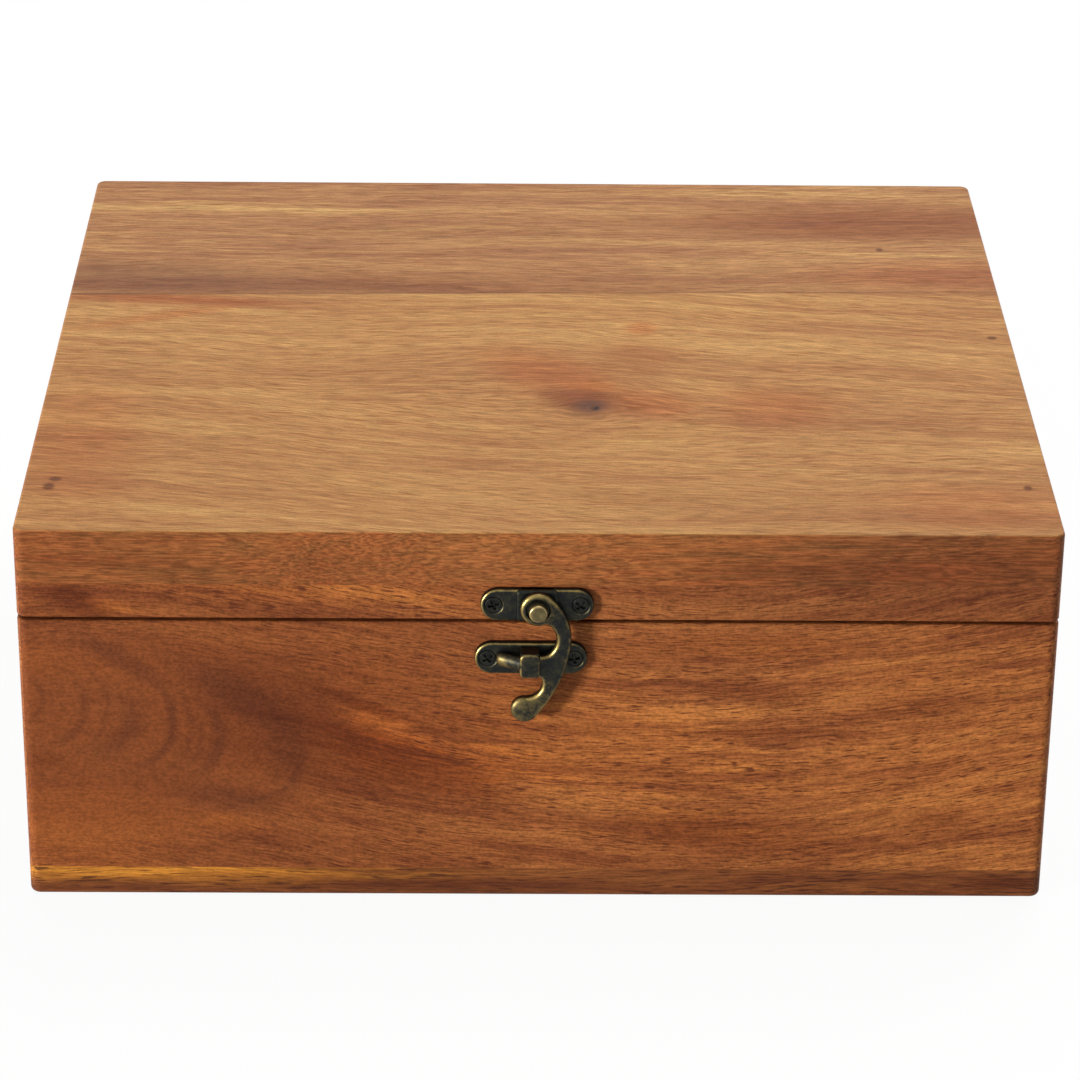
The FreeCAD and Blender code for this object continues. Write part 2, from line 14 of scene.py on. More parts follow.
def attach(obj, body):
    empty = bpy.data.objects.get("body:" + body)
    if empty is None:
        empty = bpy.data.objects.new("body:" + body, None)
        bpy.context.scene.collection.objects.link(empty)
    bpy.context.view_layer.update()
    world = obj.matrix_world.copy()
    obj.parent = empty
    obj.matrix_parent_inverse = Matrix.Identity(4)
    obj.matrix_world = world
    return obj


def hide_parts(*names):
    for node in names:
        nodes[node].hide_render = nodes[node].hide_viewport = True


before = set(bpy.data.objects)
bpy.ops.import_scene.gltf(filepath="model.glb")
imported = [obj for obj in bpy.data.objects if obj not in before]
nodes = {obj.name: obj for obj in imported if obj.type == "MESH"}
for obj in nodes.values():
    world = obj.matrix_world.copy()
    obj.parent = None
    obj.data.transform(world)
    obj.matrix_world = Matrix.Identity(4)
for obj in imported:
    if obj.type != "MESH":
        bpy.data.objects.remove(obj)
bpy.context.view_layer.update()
MM = 0.001

# %% [markdown]
# ## The camera
#
# A camera is a point, a direction and a lens. The photographer stood about a metre in front of the box and looked
# down at it, so the lid shows as a trapezium that narrows only a little. That needs a long lens: the
# farther the camera stands, the closer its lines come to parallel. The roll is the small tilt of the camera itself.

# %% Camera
SENSOR_WIDTH = 36.0
LENS = 135.94
CAMERA_PLACE = np.array([-11.157, -983.552, 522.940]) * MM
CAMERA_AZIMUTH, CAMERA_DOWN, CAMERA_ROLL = np.radians([0.7417, 26.058, 0.6309])


def add_camera(azimuth, down, roll):
    """A camera that heads `azimuth` to the right of +Y, looks `down` from level and is tilted by `roll`.

    It looks along its own -Z, so the columns of its turn are right, up and minus forward.
    """
    forward = np.array([np.sin(azimuth) * np.cos(down), np.cos(azimuth) * np.cos(down), -np.sin(down)])
    level = np.array([np.cos(azimuth), -np.sin(azimuth), 0.0])
    upright = np.cross(level, forward)
    right = level * np.cos(roll) + upright * np.sin(roll)
    up = upright * np.cos(roll) - level * np.sin(roll)
    data = bpy.data.cameras.new("camera")
    data.sensor_width, data.lens = SENSOR_WIDTH, LENS
    data.clip_start, data.clip_end = 0.01, 100.0
    camera = bpy.data.objects.new("camera", data)
    turn = Matrix(np.array([right, up, -forward]).T.tolist()).to_4x4()
    camera.matrix_world = Matrix.Translation(CAMERA_PLACE.tolist()) @ turn
    bpy.context.scene.collection.objects.link(camera)
    bpy.context.scene.camera = camera


add_camera(CAMERA_AZIMUTH, CAMERA_DOWN, CAMERA_ROLL)
print("camera stands at", (CAMERA_PLACE / MM).round(1), "mm")

# %% [markdown]
# ## Materials made of nodes
#
# A wooden board is not a picture pasted on six faces: the figure on its edge is the same streak that runs across its
# top. So each material here is solid. Its nodes take a point of the board in millimetres and answer with a colour,
# and any face that cuts through shows the right pattern.
#
# Such a material has a hundred nodes or more. The class below makes each of them a short call that hands back a
# socket, so that a pattern can be written almost like a formula. The room and the table use it too.

# %% Short calls for nodes
class Recipe:
    """A material or world under construction. Most methods add nodes and return the socket with the result."""

    def __init__(self, owner):
        owner.use_nodes = True
        self.owner, self.nodes, self.links = owner, owner.node_tree.nodes, owner.node_tree.links
        self.shader = self.nodes.get("Principled BSDF")

    def feed(self, socket, value):
        """Write a number, vector or colour into a socket, or link it if the value is a socket itself."""
        if isinstance(value, bpy.types.NodeSocket):
            self.links.new(value, socket)
        else:
            socket.default_value = value

    def add(self, kind, inputs, outlet=0, **settings):
        node = self.nodes.new(kind)
        for key, value in settings.items():
            setattr(node, key, value)
        for key, value in inputs.items():
            self.feed(node.inputs[key], value)
        return node.outputs[outlet]

    def math(self, operation, *values, clamp=False):
        return self.add("ShaderNodeMath", dict(enumerate(values)), operation=operation, use_clamp=clamp)

    def vector(self, operation, *values, outlet=0):
        return self.add("ShaderNodeVectorMath", dict(enumerate(values)), outlet, operation=operation)

    def combine(self, x, y, z):
        return self.add("ShaderNodeCombineXYZ", {0: x, 1: y, 2: z})

    def split(self, vector):
        node = self.nodes.new("ShaderNodeSeparateXYZ")
        self.feed(node.inputs[0], vector)
        return list(node.outputs)

    def noise(self, point, size, detail=2.0, roughness=0.5, seed=0.0):
        """Cloudy values round 0.5. `size` is a blob's length and width, and each seed is another place in the cloud."""
        length, width = size
        shift = (7.3 * seed, 3.1 * seed, 5.7 * seed)
        place = self.vector("MULTIPLY_ADD", point, (1.0 / length, 1.0 / width, 1.0 / width), shift)
        inputs = {"Vector": place, "Scale": 1.0, "Detail": detail, "Roughness": roughness}
        return self.add("ShaderNodeTexNoise", inputs, noise_dimensions="3D")

    def ramp(self, value, start, end, low=0.0, high=1.0):
        """low below `start`, high above `end`, and an S-shaped rise or fall between them."""
        inputs = {"Value": value, "From Min": start, "From Max": end, "To Min": low, "To Max": high}
        return self.add("ShaderNodeMapRange", inputs, interpolation_type="SMOOTHSTEP")

    def colours(self, value, stops):
        """A colour from a scale with (place, colour) stops."""
        node = self.nodes.new("ShaderNodeValToRGB")
        self.feed(node.inputs[0], value)
        scale = node.color_ramp
        while len(scale.elements) < len(stops):
            scale.elements.new(0.5)
        for element, (place, colour) in zip(scale.elements, stops):
            element.position = place
            element.color = (*colour, 1.0)
        return node.outputs["Color"]

    def mix(self, share, first, second, blend="MIX"):
        first, second = [(*c, 1.0) if isinstance(c, tuple) and len(c) == 3 else c for c in (first, second)]
        return self.add("ShaderNodeMix", {0: share, 6: first, 7: second}, 2, data_type="RGBA", blend_type=blend)

    def tint(self, share, colour, by):
        """`colour` multiplied by the colour `by` where share is 1, and left alone where it is 0."""
        return self.mix(share, colour, by, "MULTIPLY")

    def shaded(self, colour, shade):
        """`colour` made lighter or darker by a factor."""
        return self.tint(1.0, colour, self.combine(shade, shade, shade))

    def millimetres(self):
        """The point of the solid that is being coloured, in the model's own millimetres."""
        return self.vector("DIVIDE", self.add("ShaderNodeTexCoord", {}, "Object"), (MM, MM, MM))

    def surface(self, inputs, height=None, strength=0.0, depth=0.0):
        """Write or link the shader's inputs, with bumps of `depth` metres where `height` rises by 1."""
        if height is not None:
            inputs["Normal"] = self.add("ShaderNodeBump", {"Height": height, "Strength": strength, "Distance": depth})
        for key, value in inputs.items():
            self.feed(self.shader.inputs[key], value)


print("a recipe can add", [name for name in vars(Recipe) if not name.startswith("_")])

# %% [markdown]
# ## The studio
#
# The photograph is a shop picture: the box stands on a white table in a white room, so nothing round it has an edge,
# and only a trace of shadow lies at its foot. More light would whiten the table, but the wood would bleach with it.
#
# Cycles knows what each ray of light is for. A ray from the camera, or one that was mirrored on metal, finds a
# table and a room that shine plain white. Every other ray finds an ordinary grey table and a dimmer room, and those
# are what light the wood. A small share of the grey table stays in the picture too, and it carries the shadow.

# %% White room and table
scene = bpy.context.scene
scene.view_settings.view_transform = "Standard"
WHITE = (1.0, 1.0, 1.0, 1.0)
ROOM_LIGHT = 0.24
TABLE_COLOUR = (0.56, 0.555, 0.55, 1.0)
TABLE_RADIUS, TABLE_DROP = 3.0, 0.00005
SHADOW_SHARE = 0.06


def seen_directly(recipe):
    """1 for rays from the camera, off a mirror or through glass, 0 for the rays that light things."""
    path = recipe.nodes.new("ShaderNodeLightPath").outputs
    mirrored = recipe.math("MAXIMUM", path["Is Camera Ray"], path["Is Glossy Ray"])
    return recipe.math("MAXIMUM", mirrored, path["Is Transmission Ray"])


def white_room():
    """A world that looks white and lights as a dimmer grey."""
    recipe = Recipe(bpy.data.worlds.new("white_room"))
    scene.world = recipe.owner
    lighting = recipe.nodes["Background"]
    recipe.feed(lighting.inputs["Color"], WHITE)
    recipe.feed(lighting.inputs["Strength"], ROOM_LIGHT)
    looks = recipe.add("ShaderNodeBackground", {"Color": WHITE, "Strength": 1.0})
    choice = recipe.add("ShaderNodeMixShader", {0: seen_directly(recipe), 1: lighting.outputs[0], 2: looks})
    recipe.feed(recipe.nodes["World Output"].inputs["Surface"], choice)


def white_table():
    """A round table top, 6 m across, a hair below the box so that the two surfaces never fight."""
    turn = np.linspace(0, 2 * np.pi, 96, endpoint=False)
    rim = np.stack([TABLE_RADIUS * np.cos(turn), TABLE_RADIUS * np.sin(turn), np.full_like(turn, -TABLE_DROP)], axis=1)
    mesh = bpy.data.meshes.new("table")
    mesh.from_pydata(rim.tolist(), [], [list(range(len(rim)))])
    table = bpy.data.objects.new("table", mesh)
    scene.collection.objects.link(table)
    recipe = Recipe(bpy.data.materials.new("white_table"))
    direct = seen_directly(recipe)
    colour = recipe.mix(direct, TABLE_COLOUR, WHITE)
    recipe.surface({"Base Color": colour, "Roughness": 0.9, "Specular IOR Level": 0.0})
    glow = recipe.add("ShaderNodeEmission", {"Color": WHITE})
    share = recipe.math("MULTIPLY", direct, 1.0 - SHADOW_SHARE)
    choice = recipe.add("ShaderNodeMixShader", {0: share, 1: recipe.shader.outputs[0], 2: glow})
    recipe.feed(recipe.nodes["Material Output"].inputs["Surface"], choice)
    mesh.materials.append(recipe.owner)


white_room()
white_table()
print("room lights at", ROOM_LIGHT, "and shows as white")

# %% [markdown]
# ## The lamps
#
# The latch tells where the light came from: the hook's shadow lies 5 mm to its right and hardly falls. So the main
# lamp is a soft box to the left, nearly level with the box. A wide lamp overhead lights the top alone, from a little
# behind, and a third behind the box keeps its back from going dark. That one is kept out of reflections, or it would
# glare on the lid.
#
# A lamp's watts say little by themselves. A lamp of power P at distance d makes a white card that faces it as bright
# as P / (pi d)^2, so the watts are worked out from that brightness, and the lamp can be moved without a new setting.

# %% Lamps
AIM = Vector((0.0, 0.0, 0.06))


def soft_box(name, towards, distance, size, light):
    """A square lamp that looks at the box. `light` is the brightness of a white card that faces it, 1 for plain."""
    lamp = bpy.data.lights.new(name, "AREA")
    lamp.shape = "SQUARE"
    lamp.size = size
    lamp.energy = light * (np.pi * distance) ** 2
    piece = bpy.data.objects.new(name, lamp)
    piece.location = AIM + Vector(towards).normalized() * distance
    piece.rotation_euler = (AIM - piece.location).to_track_quat("-Z", "Y").to_euler()
    scene.collection.objects.link(piece)
    return piece


lamps = [
    soft_box("key_lamp", towards=(-0.80, -0.60, 0.10), distance=2.2, size=0.4, light=1.0),
    soft_box("top_lamp", towards=(0.10, 0.30, 1.0), distance=2.4, size=1.6, light=0.60),
    soft_box("back_lamp", towards=(0.45, 0.85, 0.5), distance=2.4, size=1.2, light=0.36),
]
lamps[2].visible_glossy = False
print("lamps:", [(lamp.name, round(lamp.data.energy, 1), "W") for lamp in lamps])

# %% [markdown]
# ## The fibres of a board
#
# Wood is a bundle of long fibres, so every pattern in it is drawn out lengthwise: a streak 2 mm wide may run on for
# 80 mm. The first step is therefore a set of coordinates that belong to the board: `along` its fibres, `across`
# them on the face that shows, and `into` the board.
#
# Fibres are never quite straight. Four things bend them here, and each simply shifts `across`: a lean that changes
# slowly along the board, a fall from one level to another, a soft wander, and a swelling where they part to pass a
# knot.

# %% Coordinates that follow the fibres
def board_point(recipe, order):
    """A point of the board in millimetres as along, across, into. `order` such as "xzy" names their axes."""
    axes = dict(zip("xyz", recipe.split(recipe.millimetres())))
    return [axes[letter] for letter in order]


def lean(recipe, along, across, level_at, bend, slope=0.0):
    """Fibres that rise by `slope` at `level_at` and more with every millimetre beyond it: a parabola."""
    reach = recipe.math("SUBTRACT", along, level_at)
    rise = recipe.math("MULTIPLY", recipe.math("MULTIPLY", reach, reach), 0.5 * bend)
    return recipe.math("SUBTRACT", recipe.math("SUBTRACT", across, rise), recipe.math("MULTIPLY", reach, slope))


def fall(recipe, along, across, start, end, drop):
    """Fibres that run level, sink by `drop` between two places, and run level again."""
    return recipe.math("ADD", across, recipe.ramp(along, start, end, 0.0, drop))


def part_round_knot(recipe, across, centre, reach, strength):
    """Fibres that swell apart near a knot: close to it `across` is drawn back towards the knot's own line."""
    near = recipe.math("EXPONENT", recipe.math("MULTIPLY", ellipse(recipe, centre, reach), -1.0))
    offset = recipe.math("SUBTRACT", across, centre[1])
    pull = recipe.math("MULTIPLY", recipe.math("MULTIPLY", offset, near), strength)
    return recipe.math("SUBTRACT", across, pull)


def ellipse(recipe, centre, reach, tilt=0.0):
    """0 at the centre of a tilted ellipse and 1 on its edge."""
    turn = (0.0, 0.0, np.radians(tilt))
    inputs = {"Vector": recipe.plane, "Location": (*centre, 0.0), "Rotation": turn, "Scale": (*reach, 1.0)}
    return recipe.vector("LENGTH", recipe.add("ShaderNodeMapping", inputs, vector_type="TEXTURE"), outlet="Value")


def centred(recipe, noise):
    """A noise that swings round 0 instead of 0.5."""
    return recipe.math("SUBTRACT", noise, 0.5)


def wander(recipe, point, size, amount, seed):
    """A soft push sideways, `amount` millimetres either way."""
    return recipe.math("MULTIPLY", centred(recipe, recipe.noise(point, size, detail=1.0, seed=seed)), 2.0 * amount)


print("boards know their fibres")

# %% [markdown]
# ## Colour, pores and patches
#
# Seen close, this wood has five layers of pattern, from coarse to fine. Broad bands run between golden and
# red-brown, where one year's growth was fed differently from the next. Streaks a millimetre or two wide lie in them.
# Over these come the single fibres, hardly darker than their neighbours, and a fine grain that has no direction.
# Last come the pores: vessels cut open lengthwise by the saw, which show as dark dashes as thin as a hair.
#
# Then every board has its own marks, such as a dark cloud, an orange flame or a knot. Each is an ellipse that tints
# what lies under it. A clean ellipse would look painted, so the streaks are added to its distance first, and its
# edge breaks up along the fibres. A tint is a colour to multiply by, so the pattern below still shows.

# %% A board's material
DARK = (0.60, 0.52, 0.56)
BROWN = (0.76, 0.66, 0.62)
RED = (0.92, 0.68, 0.58)
ASH = (0.66, 0.68, 0.84)
FLAME = (1.34, 1.34, 1.12)
GOLD = (1.16, 1.26, 1.22)
PIN_KNOT = (0.35, 0.26, 0.24)


def patch(recipe, colour, x, y, length, width, tilt, tint, ragged, amount):
    """Tint an ellipse at (x, y) that reaches `length` and `width` to each side. The streaks make its edge ragged."""
    distance = ellipse(recipe, (x, y), (length, width), tilt)
    torn = recipe.math("MULTIPLY_ADD", centred(recipe, recipe.streaks), 3.0 * ragged, distance)
    return recipe.tint(recipe.ramp(torn, 0.25, 1.2, amount, 0.0), colour, tint)


def dot(recipe, colour, centre, reach):
    """A pin knot: a small dark spot with a soft rim."""
    return recipe.tint(recipe.ramp(ellipse(recipe, centre, reach), 0.4, 1.1, 0.9, 0.0), colour, PIN_KNOT)


def board(name, order, seed, palette, bends=(), knots=(), patches=(), dots=(), extra=None, contrast=1.0, pores=1.0,
          sheen=0.10, wave=1.0, edge_tint=None, calm=None, pore_size=(5.5, 0.42), falls=(), ripple=0.0,
          band_size=(230, 15), streak_length=34, speckle=0.08):
    """One board's wood. `palette` is pale, middle, dark and pore colour, `edge_tint` is for its four sides, and `calm`
    is an ellipse with few streaks. The rows of `patches` are what `patch` takes, and sizes are in millimetres.

    The recipe keeps the board's `plane` and `streaks`, because every mark on it is placed and torn by them.
    """
    recipe = Recipe(bpy.data.materials.new(name))
    along, across, into = board_point(recipe, order)
    recipe.plane = recipe.combine(along, across, 0.0)
    solid = recipe.combine(along, across, into)
    straight = across
    for bend in bends:
        straight = lean(recipe, along, straight, *bend)
    for sink in falls:
        straight = fall(recipe, along, straight, *sink)
    for knot in knots:
        straight = part_round_knot(recipe, straight, *knot)
    if ripple:
        straight = recipe.math("ADD", straight, wander(recipe, solid, (6, 3.5), ripple, seed + 8))
    slow = wander(recipe, solid, (95, 38), 5.0 * wave, seed)
    quick = wander(recipe, solid, (17, 7), 0.75 * wave, seed + 1)
    flow = recipe.combine(along, recipe.math("ADD", recipe.math("ADD", straight, slow), quick), into)

    bands = recipe.noise(flow, band_size, detail=2.0, roughness=0.55, seed=seed + 2)
    streaks = recipe.streaks = recipe.noise(flow, (streak_length, 2.0), detail=3.0, roughness=0.62, seed=seed + 3)
    fibres = recipe.noise(flow, (7, 0.45), detail=2.0, roughness=0.6, seed=seed + 4)
    vessels = recipe.noise(flow, pore_size, detail=1.0, roughness=0.4, seed=seed + 5)
    crowd = recipe.noise(flow, (30, 6), detail=2.0, seed=seed + 6)

    lively = recipe.ramp(ellipse(recipe, *calm), 0.55, 1.15, 0.25, 1.0) if calm else 1.0
    tone = recipe.math("MULTIPLY", centred(recipe, bands), 1.2 * contrast)
    tone = recipe.math("MULTIPLY_ADD", centred(recipe, streaks), 1.3 * contrast, tone)
    tone = recipe.math("MULTIPLY_ADD", tone, lively, 0.5)
    pale, middle, dark, pore = palette
    colour = recipe.colours(tone, [(0.12, pale), (0.5, middle), (0.88, dark)])
    for mark in patches:
        colour = patch(recipe, colour, *mark)
    if extra:
        colour = extra(recipe, colour)
    shade = recipe.math("MULTIPLY_ADD", recipe.ramp(fibres, 0.28, 0.72, 0.28, -0.28), lively, 1.0)
    grain = recipe.noise(solid, (0.8, 0.6), detail=1.0, seed=seed + 9)
    shade = recipe.math("ADD", shade, recipe.ramp(grain, 0.25, 0.75, -speckle, speckle))
    colour = recipe.shaded(colour, shade)
    # A pore opens where its noise passes a limit, and the limit is lower where pores crowd together.
    limit = recipe.math("MULTIPLY_ADD", centred(recipe, crowd), -0.30, 0.585)
    dashes = recipe.math("DIVIDE", recipe.math("SUBTRACT", vessels, limit), 0.10, clamp=True)
    colour = recipe.mix(recipe.math("MULTIPLY", recipe.math("MULTIPLY", dashes, 0.8 * pores), lively), colour, pore)
    if edge_tint:
        upright = recipe.math("ABSOLUTE", recipe.split(recipe.add("ShaderNodeTexCoord", {}, "Normal"))[2])
        broad, fine = recipe.ramp(streaks, 0.3, 0.7, 0.76, 1.24), recipe.ramp(fibres, 0.3, 0.7, 1.12, 0.88)
        side = recipe.shaded(recipe.tint(1.0, colour, edge_tint), recipe.math("MULTIPLY", broad, fine))
        colour = recipe.mix(recipe.ramp(upright, 0.4, 0.95, 1.0, 0.0), colour, side)
    for centre, reach in dots:
        colour = dot(recipe, colour, centre, reach)

    dull = recipe.math("MULTIPLY_ADD", dashes, 0.18, recipe.ramp(fibres, 0.3, 0.7, 0.38, 0.47))
    height = recipe.math("MULTIPLY_ADD", dashes, -1.0, recipe.math("MULTIPLY", fibres, 0.5))
    recipe.surface({"Base Color": colour, "Specular IOR Level": sheen, "Roughness": dull}, height, 0.5, 0.00006)
    return recipe.owner


def dress(material, *names):
    """Give solid-model nodes their finish, in place of the plain one that they came with."""
    for name in names:
        nodes[name].data.materials.clear()
        nodes[name].data.materials.append(material)
    print(f"{material.name}: {len(material.node_tree.nodes)} nodes, on {', '.join(names)}")

# %% [markdown]
# ## The two boards of the top
#
# The lid's top is glued up from two boards. The one at the back is straight-grained and browner, with golden streaks
# along its back edge and a smoky patch where it meets its neighbour at the left. The front one is wider and more
# golden. A branch once grew out of it, and left a dark knot to the right of the middle.

# %% Top boards
GLUE_LINE_Y = 32.8
GLUE_LINE_SKEW = np.tan(np.radians(1.2))


def glue_line(recipe, colour):
    """The joint between the two boards: a line as thin as a hair, open and dark for its first centimetres."""
    along, across, _ = recipe.split(recipe.plane)
    off = recipe.math("SUBTRACT", across, recipe.math("MULTIPLY_ADD", along, GLUE_LINE_SKEW, GLUE_LINE_Y))
    near = recipe.ramp(recipe.math("ABSOLUTE", off), 0.15, 0.75, 1.0, 0.0)
    depth = recipe.ramp(along, -116.0, -98.0, 0.9, 0.42)
    return recipe.tint(recipe.math("MULTIPLY", near, depth), colour, (0.30, 0.24, 0.24))


TOP_EDGE = (0.66, 0.46, 0.42)
BACK_TOP_PALETTE = ((0.56, 0.300, 0.105), (0.445, 0.205, 0.073), (0.33, 0.130, 0.050), (0.24, 0.080, 0.033))
back_top = board(
    "wood_top_back", "xyz", 11.0, BACK_TOP_PALETTE, contrast=1.1, band_size=(200, 10), pore_size=(6.5, 0.42),
    pores=0.75, ripple=0.25, extra=glue_line, edge_tint=TOP_EDGE,
    patches=(
        # x, y, half length, half width, tilt, tint, raggedness, amount
        (0, 38, 150, 13, 1.2, BROWN, 0.3, 0.7),
        (-95, 94, 62, 7, -4, GOLD, 0.7, 0.8),
        (-100, 62, 34, 3, -4, GOLD, 0.5, 0.7),
        (75, 106, 70, 4, -4, GOLD, 0.5, 0.9),
        (-108, 42, 50, 15, -6, DARK, 0.35, 0.9),
        (-40, 40, 55, 8, -8, BROWN, 0.5, 0.8),
        (-20, 78, 60, 9, 0, BROWN, 0.8, 0.6),
        (100, 86, 80, 18, 0, (0.60, 0.40, 0.32), 0.35, 0.95),
        (95, 61.5, 46, 2.6, -3, GOLD, 0.25, 1.0),
        (115, 46, 50, 13, 0, RED, 0.3, 0.75),
    ),
    dots=(((95.5, 65.2), (1.3, 1.6)),),
)
dress(back_top, "lid_top_back_board")


def front_knot(recipe, colour):
    """A knot: a purple-brown halo, a dark heart and a nearly black crack in it."""
    colour = glue_line(recipe, colour)
    colour = patch(recipe, colour, 11.5, -38.5, 13, 10, -22, (0.52, 0.35, 0.29), 0.12, 0.95)
    heart = recipe.ramp(ellipse(recipe, (13.6, -41.6), (5.6, 5.8), -20), 0.15, 1.25, 0.85, 0.0)
    colour = recipe.mix(heart, colour, (0.110, 0.042, 0.024))
    chip = recipe.ramp(ellipse(recipe, (14.6, -42.6), (1.4, 1.7)), 0.5, 1.1, 0.9, 0.0)
    return recipe.mix(chip, colour, (0.026, 0.012, 0.009))


FRONT_TOP_PALETTE = ((0.57, 0.300, 0.098), (0.475, 0.222, 0.071), (0.37, 0.148, 0.047), (0.27, 0.090, 0.034))
front_top = board(
    "wood_top_front", "xyz", 23.0, FRONT_TOP_PALETTE, contrast=1.15, band_size=(150, 11), pore_size=(6.0, 0.42),
    pores=0.65, wave=1.5, ripple=0.35, extra=front_knot, edge_tint=TOP_EDGE,
    bends=((-10.0, 0.0, -0.10),),
    knots=(((14, -41), (32, 23), 0.84), ((28, 9), (12, 9), 0.5)),
    patches=(
        (-98, 27, 40, 4, -4, RED, 0.35, 1.0),
        (-98, 16, 32, 3.5, 22, RED, 0.25, 0.7),
        (4, -22, 27, 15, -42, (0.92, 0.71, 0.62), 0.25, 1.0),
        (29, -40, 15, 11, -12, RED, 0.25, 0.9),
        (34, -57, 20, 7, 14, GOLD, 0.4, 1.0),
        (14, -29, 9, 4.5, -16, (1.10, 0.98, 0.80), 0.2, 0.9),
        (40, -30, 12, 6, 12, GOLD, 0.6, 0.5),
        (28, 9, 5, 6, 0, RED, 0.3, 0.9),
        (27, -9, 13, 14, 40, (0.86, 0.74, 0.68), 0.4, 0.9),
        (60, -42, 20, 15, 0, RED, 0.35, 0.75),
        (50, -100, 75, 9, -6, BROWN, 1.0, 0.75),
        (105, -100, 34, 16, 0, RED, 0.5, 0.7),
        (-95, -118, 62, 4.5, 0, (0.76, 0.75, 0.75), 0.15, 1.0),
        (95, -118, 70, 4.5, 0, (0.53, 0.52, 0.66), 0.15, 1.0),
        (-114, -66, 20, 46, 0, RED, 0.4, 0.6),
        (40, 22, 120, 12, 0, GOLD, 0.4, 0.6),
    ),
    dots=(((120.1, 3.9), (1.7, 1.4)), ((118.9, -88.5), (1.4, 1.7)), ((76.3, 38.2), (0.8, 1.0)),
          ((-117.4, -86.4), (2.0, 1.7)), ((-118.6, -90.6), (1.8, 2.6))),
)
dress(front_top, "lid_top_front_board")

# %% [markdown]
# ## The front
#
# The box was glued up whole and then sawn open, so one board makes the front of both the lid and the base, and its
# figure runs on across the gap. A single material in the model's own coordinates gives just that. This board was cut
# close to the heart of the tree: at its left end the growth rings stand as arcs, one beside the other, and the fibres
# fall from there to the middle and rise again to the right.

# %% The board of the front
HEART_ARCS = (
    # centre, radius, half width, direction in which it is darkest in degrees, strength
    ((-126.0, 55.0), 6.6, 1.5, -10, 0.55),
    ((-122.0, 54.0), 12.5, 2.0, -15, 0.6),
    ((-119.0, 53.0), 15.0, 1.5, 5, 0.4),
    ((-108.7, 50.6), 10.6, 4.4, -32, 0.8),
    ((-102.4, 49.0), 14.2, 2.2, -12, 0.95),
    ((-99.5, 47.5), 15.8, 1.5, -5, 0.4),
    ((-89.3, 44.6), 12.3, 3.0, -5, 0.8),
    ((-90.0, 44.0), 8.6, 1.6, -20, 0.55),
    ((-70.0, 39.8), 12.7, 2.0, -50, 0.65),
)


def heart_arcs(recipe, colour):
    """Soft dark arcs. Each belongs to its own circle and fades away from its darkest place."""
    stray = wander(recipe, recipe.plane, (9, 9), 1.1, 77.0)
    for centre, radius, width, toward, strength in HEART_ARCS:
        distance = recipe.math("ADD", recipe.vector("DISTANCE", recipe.plane, (*centre, 0.0), outlet="Value"), stray)
        off = recipe.math("ABSOLUTE", recipe.math("SUBTRACT", distance, radius))
        line = recipe.ramp(off, 0.0, width, strength, 0.0)
        turn = np.radians(toward)
        darkest = (centre[0] + radius * np.cos(turn), centre[1] + radius * np.sin(turn))
        seen = recipe.ramp(ellipse(recipe, darkest, (radius, radius)), 0.3, 1.5, 1.0, 0.0)
        colour = recipe.tint(recipe.math("MULTIPLY", line, seen), colour, ASH)
    return colour


FRONT_PALETTE = ((0.44, 0.155, 0.044), (0.350, 0.113, 0.034), (0.235, 0.068, 0.023), (0.115, 0.030, 0.013))
front_wood = board(
    "wood_front", "xzy", 37.0, FRONT_PALETTE, contrast=1.4, band_size=(110, 8), streak_length=24, pore_size=(4.0, 0.36),
    pores=1.15, speckle=0.20, sheen=0.07, ripple=0.3, extra=heart_arcs,
    calm=((-112, 42), (74, 38)), falls=((-108.0, 30.0, 19.0), (35.0, 215.0, -22.0)),
    patches=(
        (-112, 46, 128, 58, 0, (0.66, 0.57, 0.58), 0.2, 1.0),
        (100, 84, 110, 9, 0, (0.65, 0.62, 0.72), 0.5, 0.9),
        (-111, 81.6, 11, 4.5, -20, DARK, 0.3, 1.0),
        (-60, 93, 70, 4.5, -4, FLAME, 1.1, 0.6),
        (-48, 84, 52, 4, -5, FLAME, 0.9, 0.8),
        (-30, 88, 60, 3.2, -3, BROWN, 1.2, 0.9),
        (-103, 80.2, 7, 2.4, -14, FLAME, 0.3, 1.0),
        (-101, 66.2, 17, 3.4, -33, ASH, 0.12, 0.65),
        (-72, 56, 20, 6.5, -33, ASH, 0.15, 0.85),
        (-61, 41, 7, 12, 10, ASH, 0.15, 0.6),
        (-76, 27.5, 16, 4.5, -8, ASH, 0.2, 0.7),
        (-42, 50, 52, 26, -10, (0.84, 0.75, 0.73), 0.3, 0.95),
        (-62, 54, 22, 17, -20, (0.84, 0.84, 0.90), 0.2, 0.9),
        (-122, 38, 10, 3, 4, DARK, 0.2, 0.5),
        (-42, 53.5, 15, 2.2, -22, DARK, 0.5, 0.9),
        (-30, 37, 34, 8, -22, (0.72, 0.60, 0.58), 0.6, 0.9),
        (-37, 47.5, 13, 5.0, -24, (1.60, 1.62, 1.35), 0.6, 1.0),
        (-12, 39, 22, 5.0, -16, (1.45, 1.45, 1.20), 0.8, 0.9),
        (-112, 18, 34, 14, 4, FLAME, 0.3, 0.8),
        (-120, 66, 24, 5, -12, FLAME, 0.3, 0.5),
        (-76, 20.5, 12, 4, 0, FLAME, 0.3, 0.8),
        (52, 57, 18, 3.2, -6, DARK, 1.1, 0.9),
        (55, 46.6, 24, 1.2, 1, DARK, 0.6, 0.9),
        (92, 54, 20, 3.6, 7, DARK, 1.0, 0.8),
        (42, 19, 36, 8, -4, BROWN, 0.5, 0.9),
        (99, 22, 8, 3.5, 10, DARK, 0.9, 0.7),
        (48, 70, 34, 5, 0, BROWN, 0.7, 0.8),
        (20, 42, 44, 20, -8, FLAME, 0.5, 0.7),
        (108, 42, 60, 44, 0, FLAME, 0.4, 0.45),
    ),
)
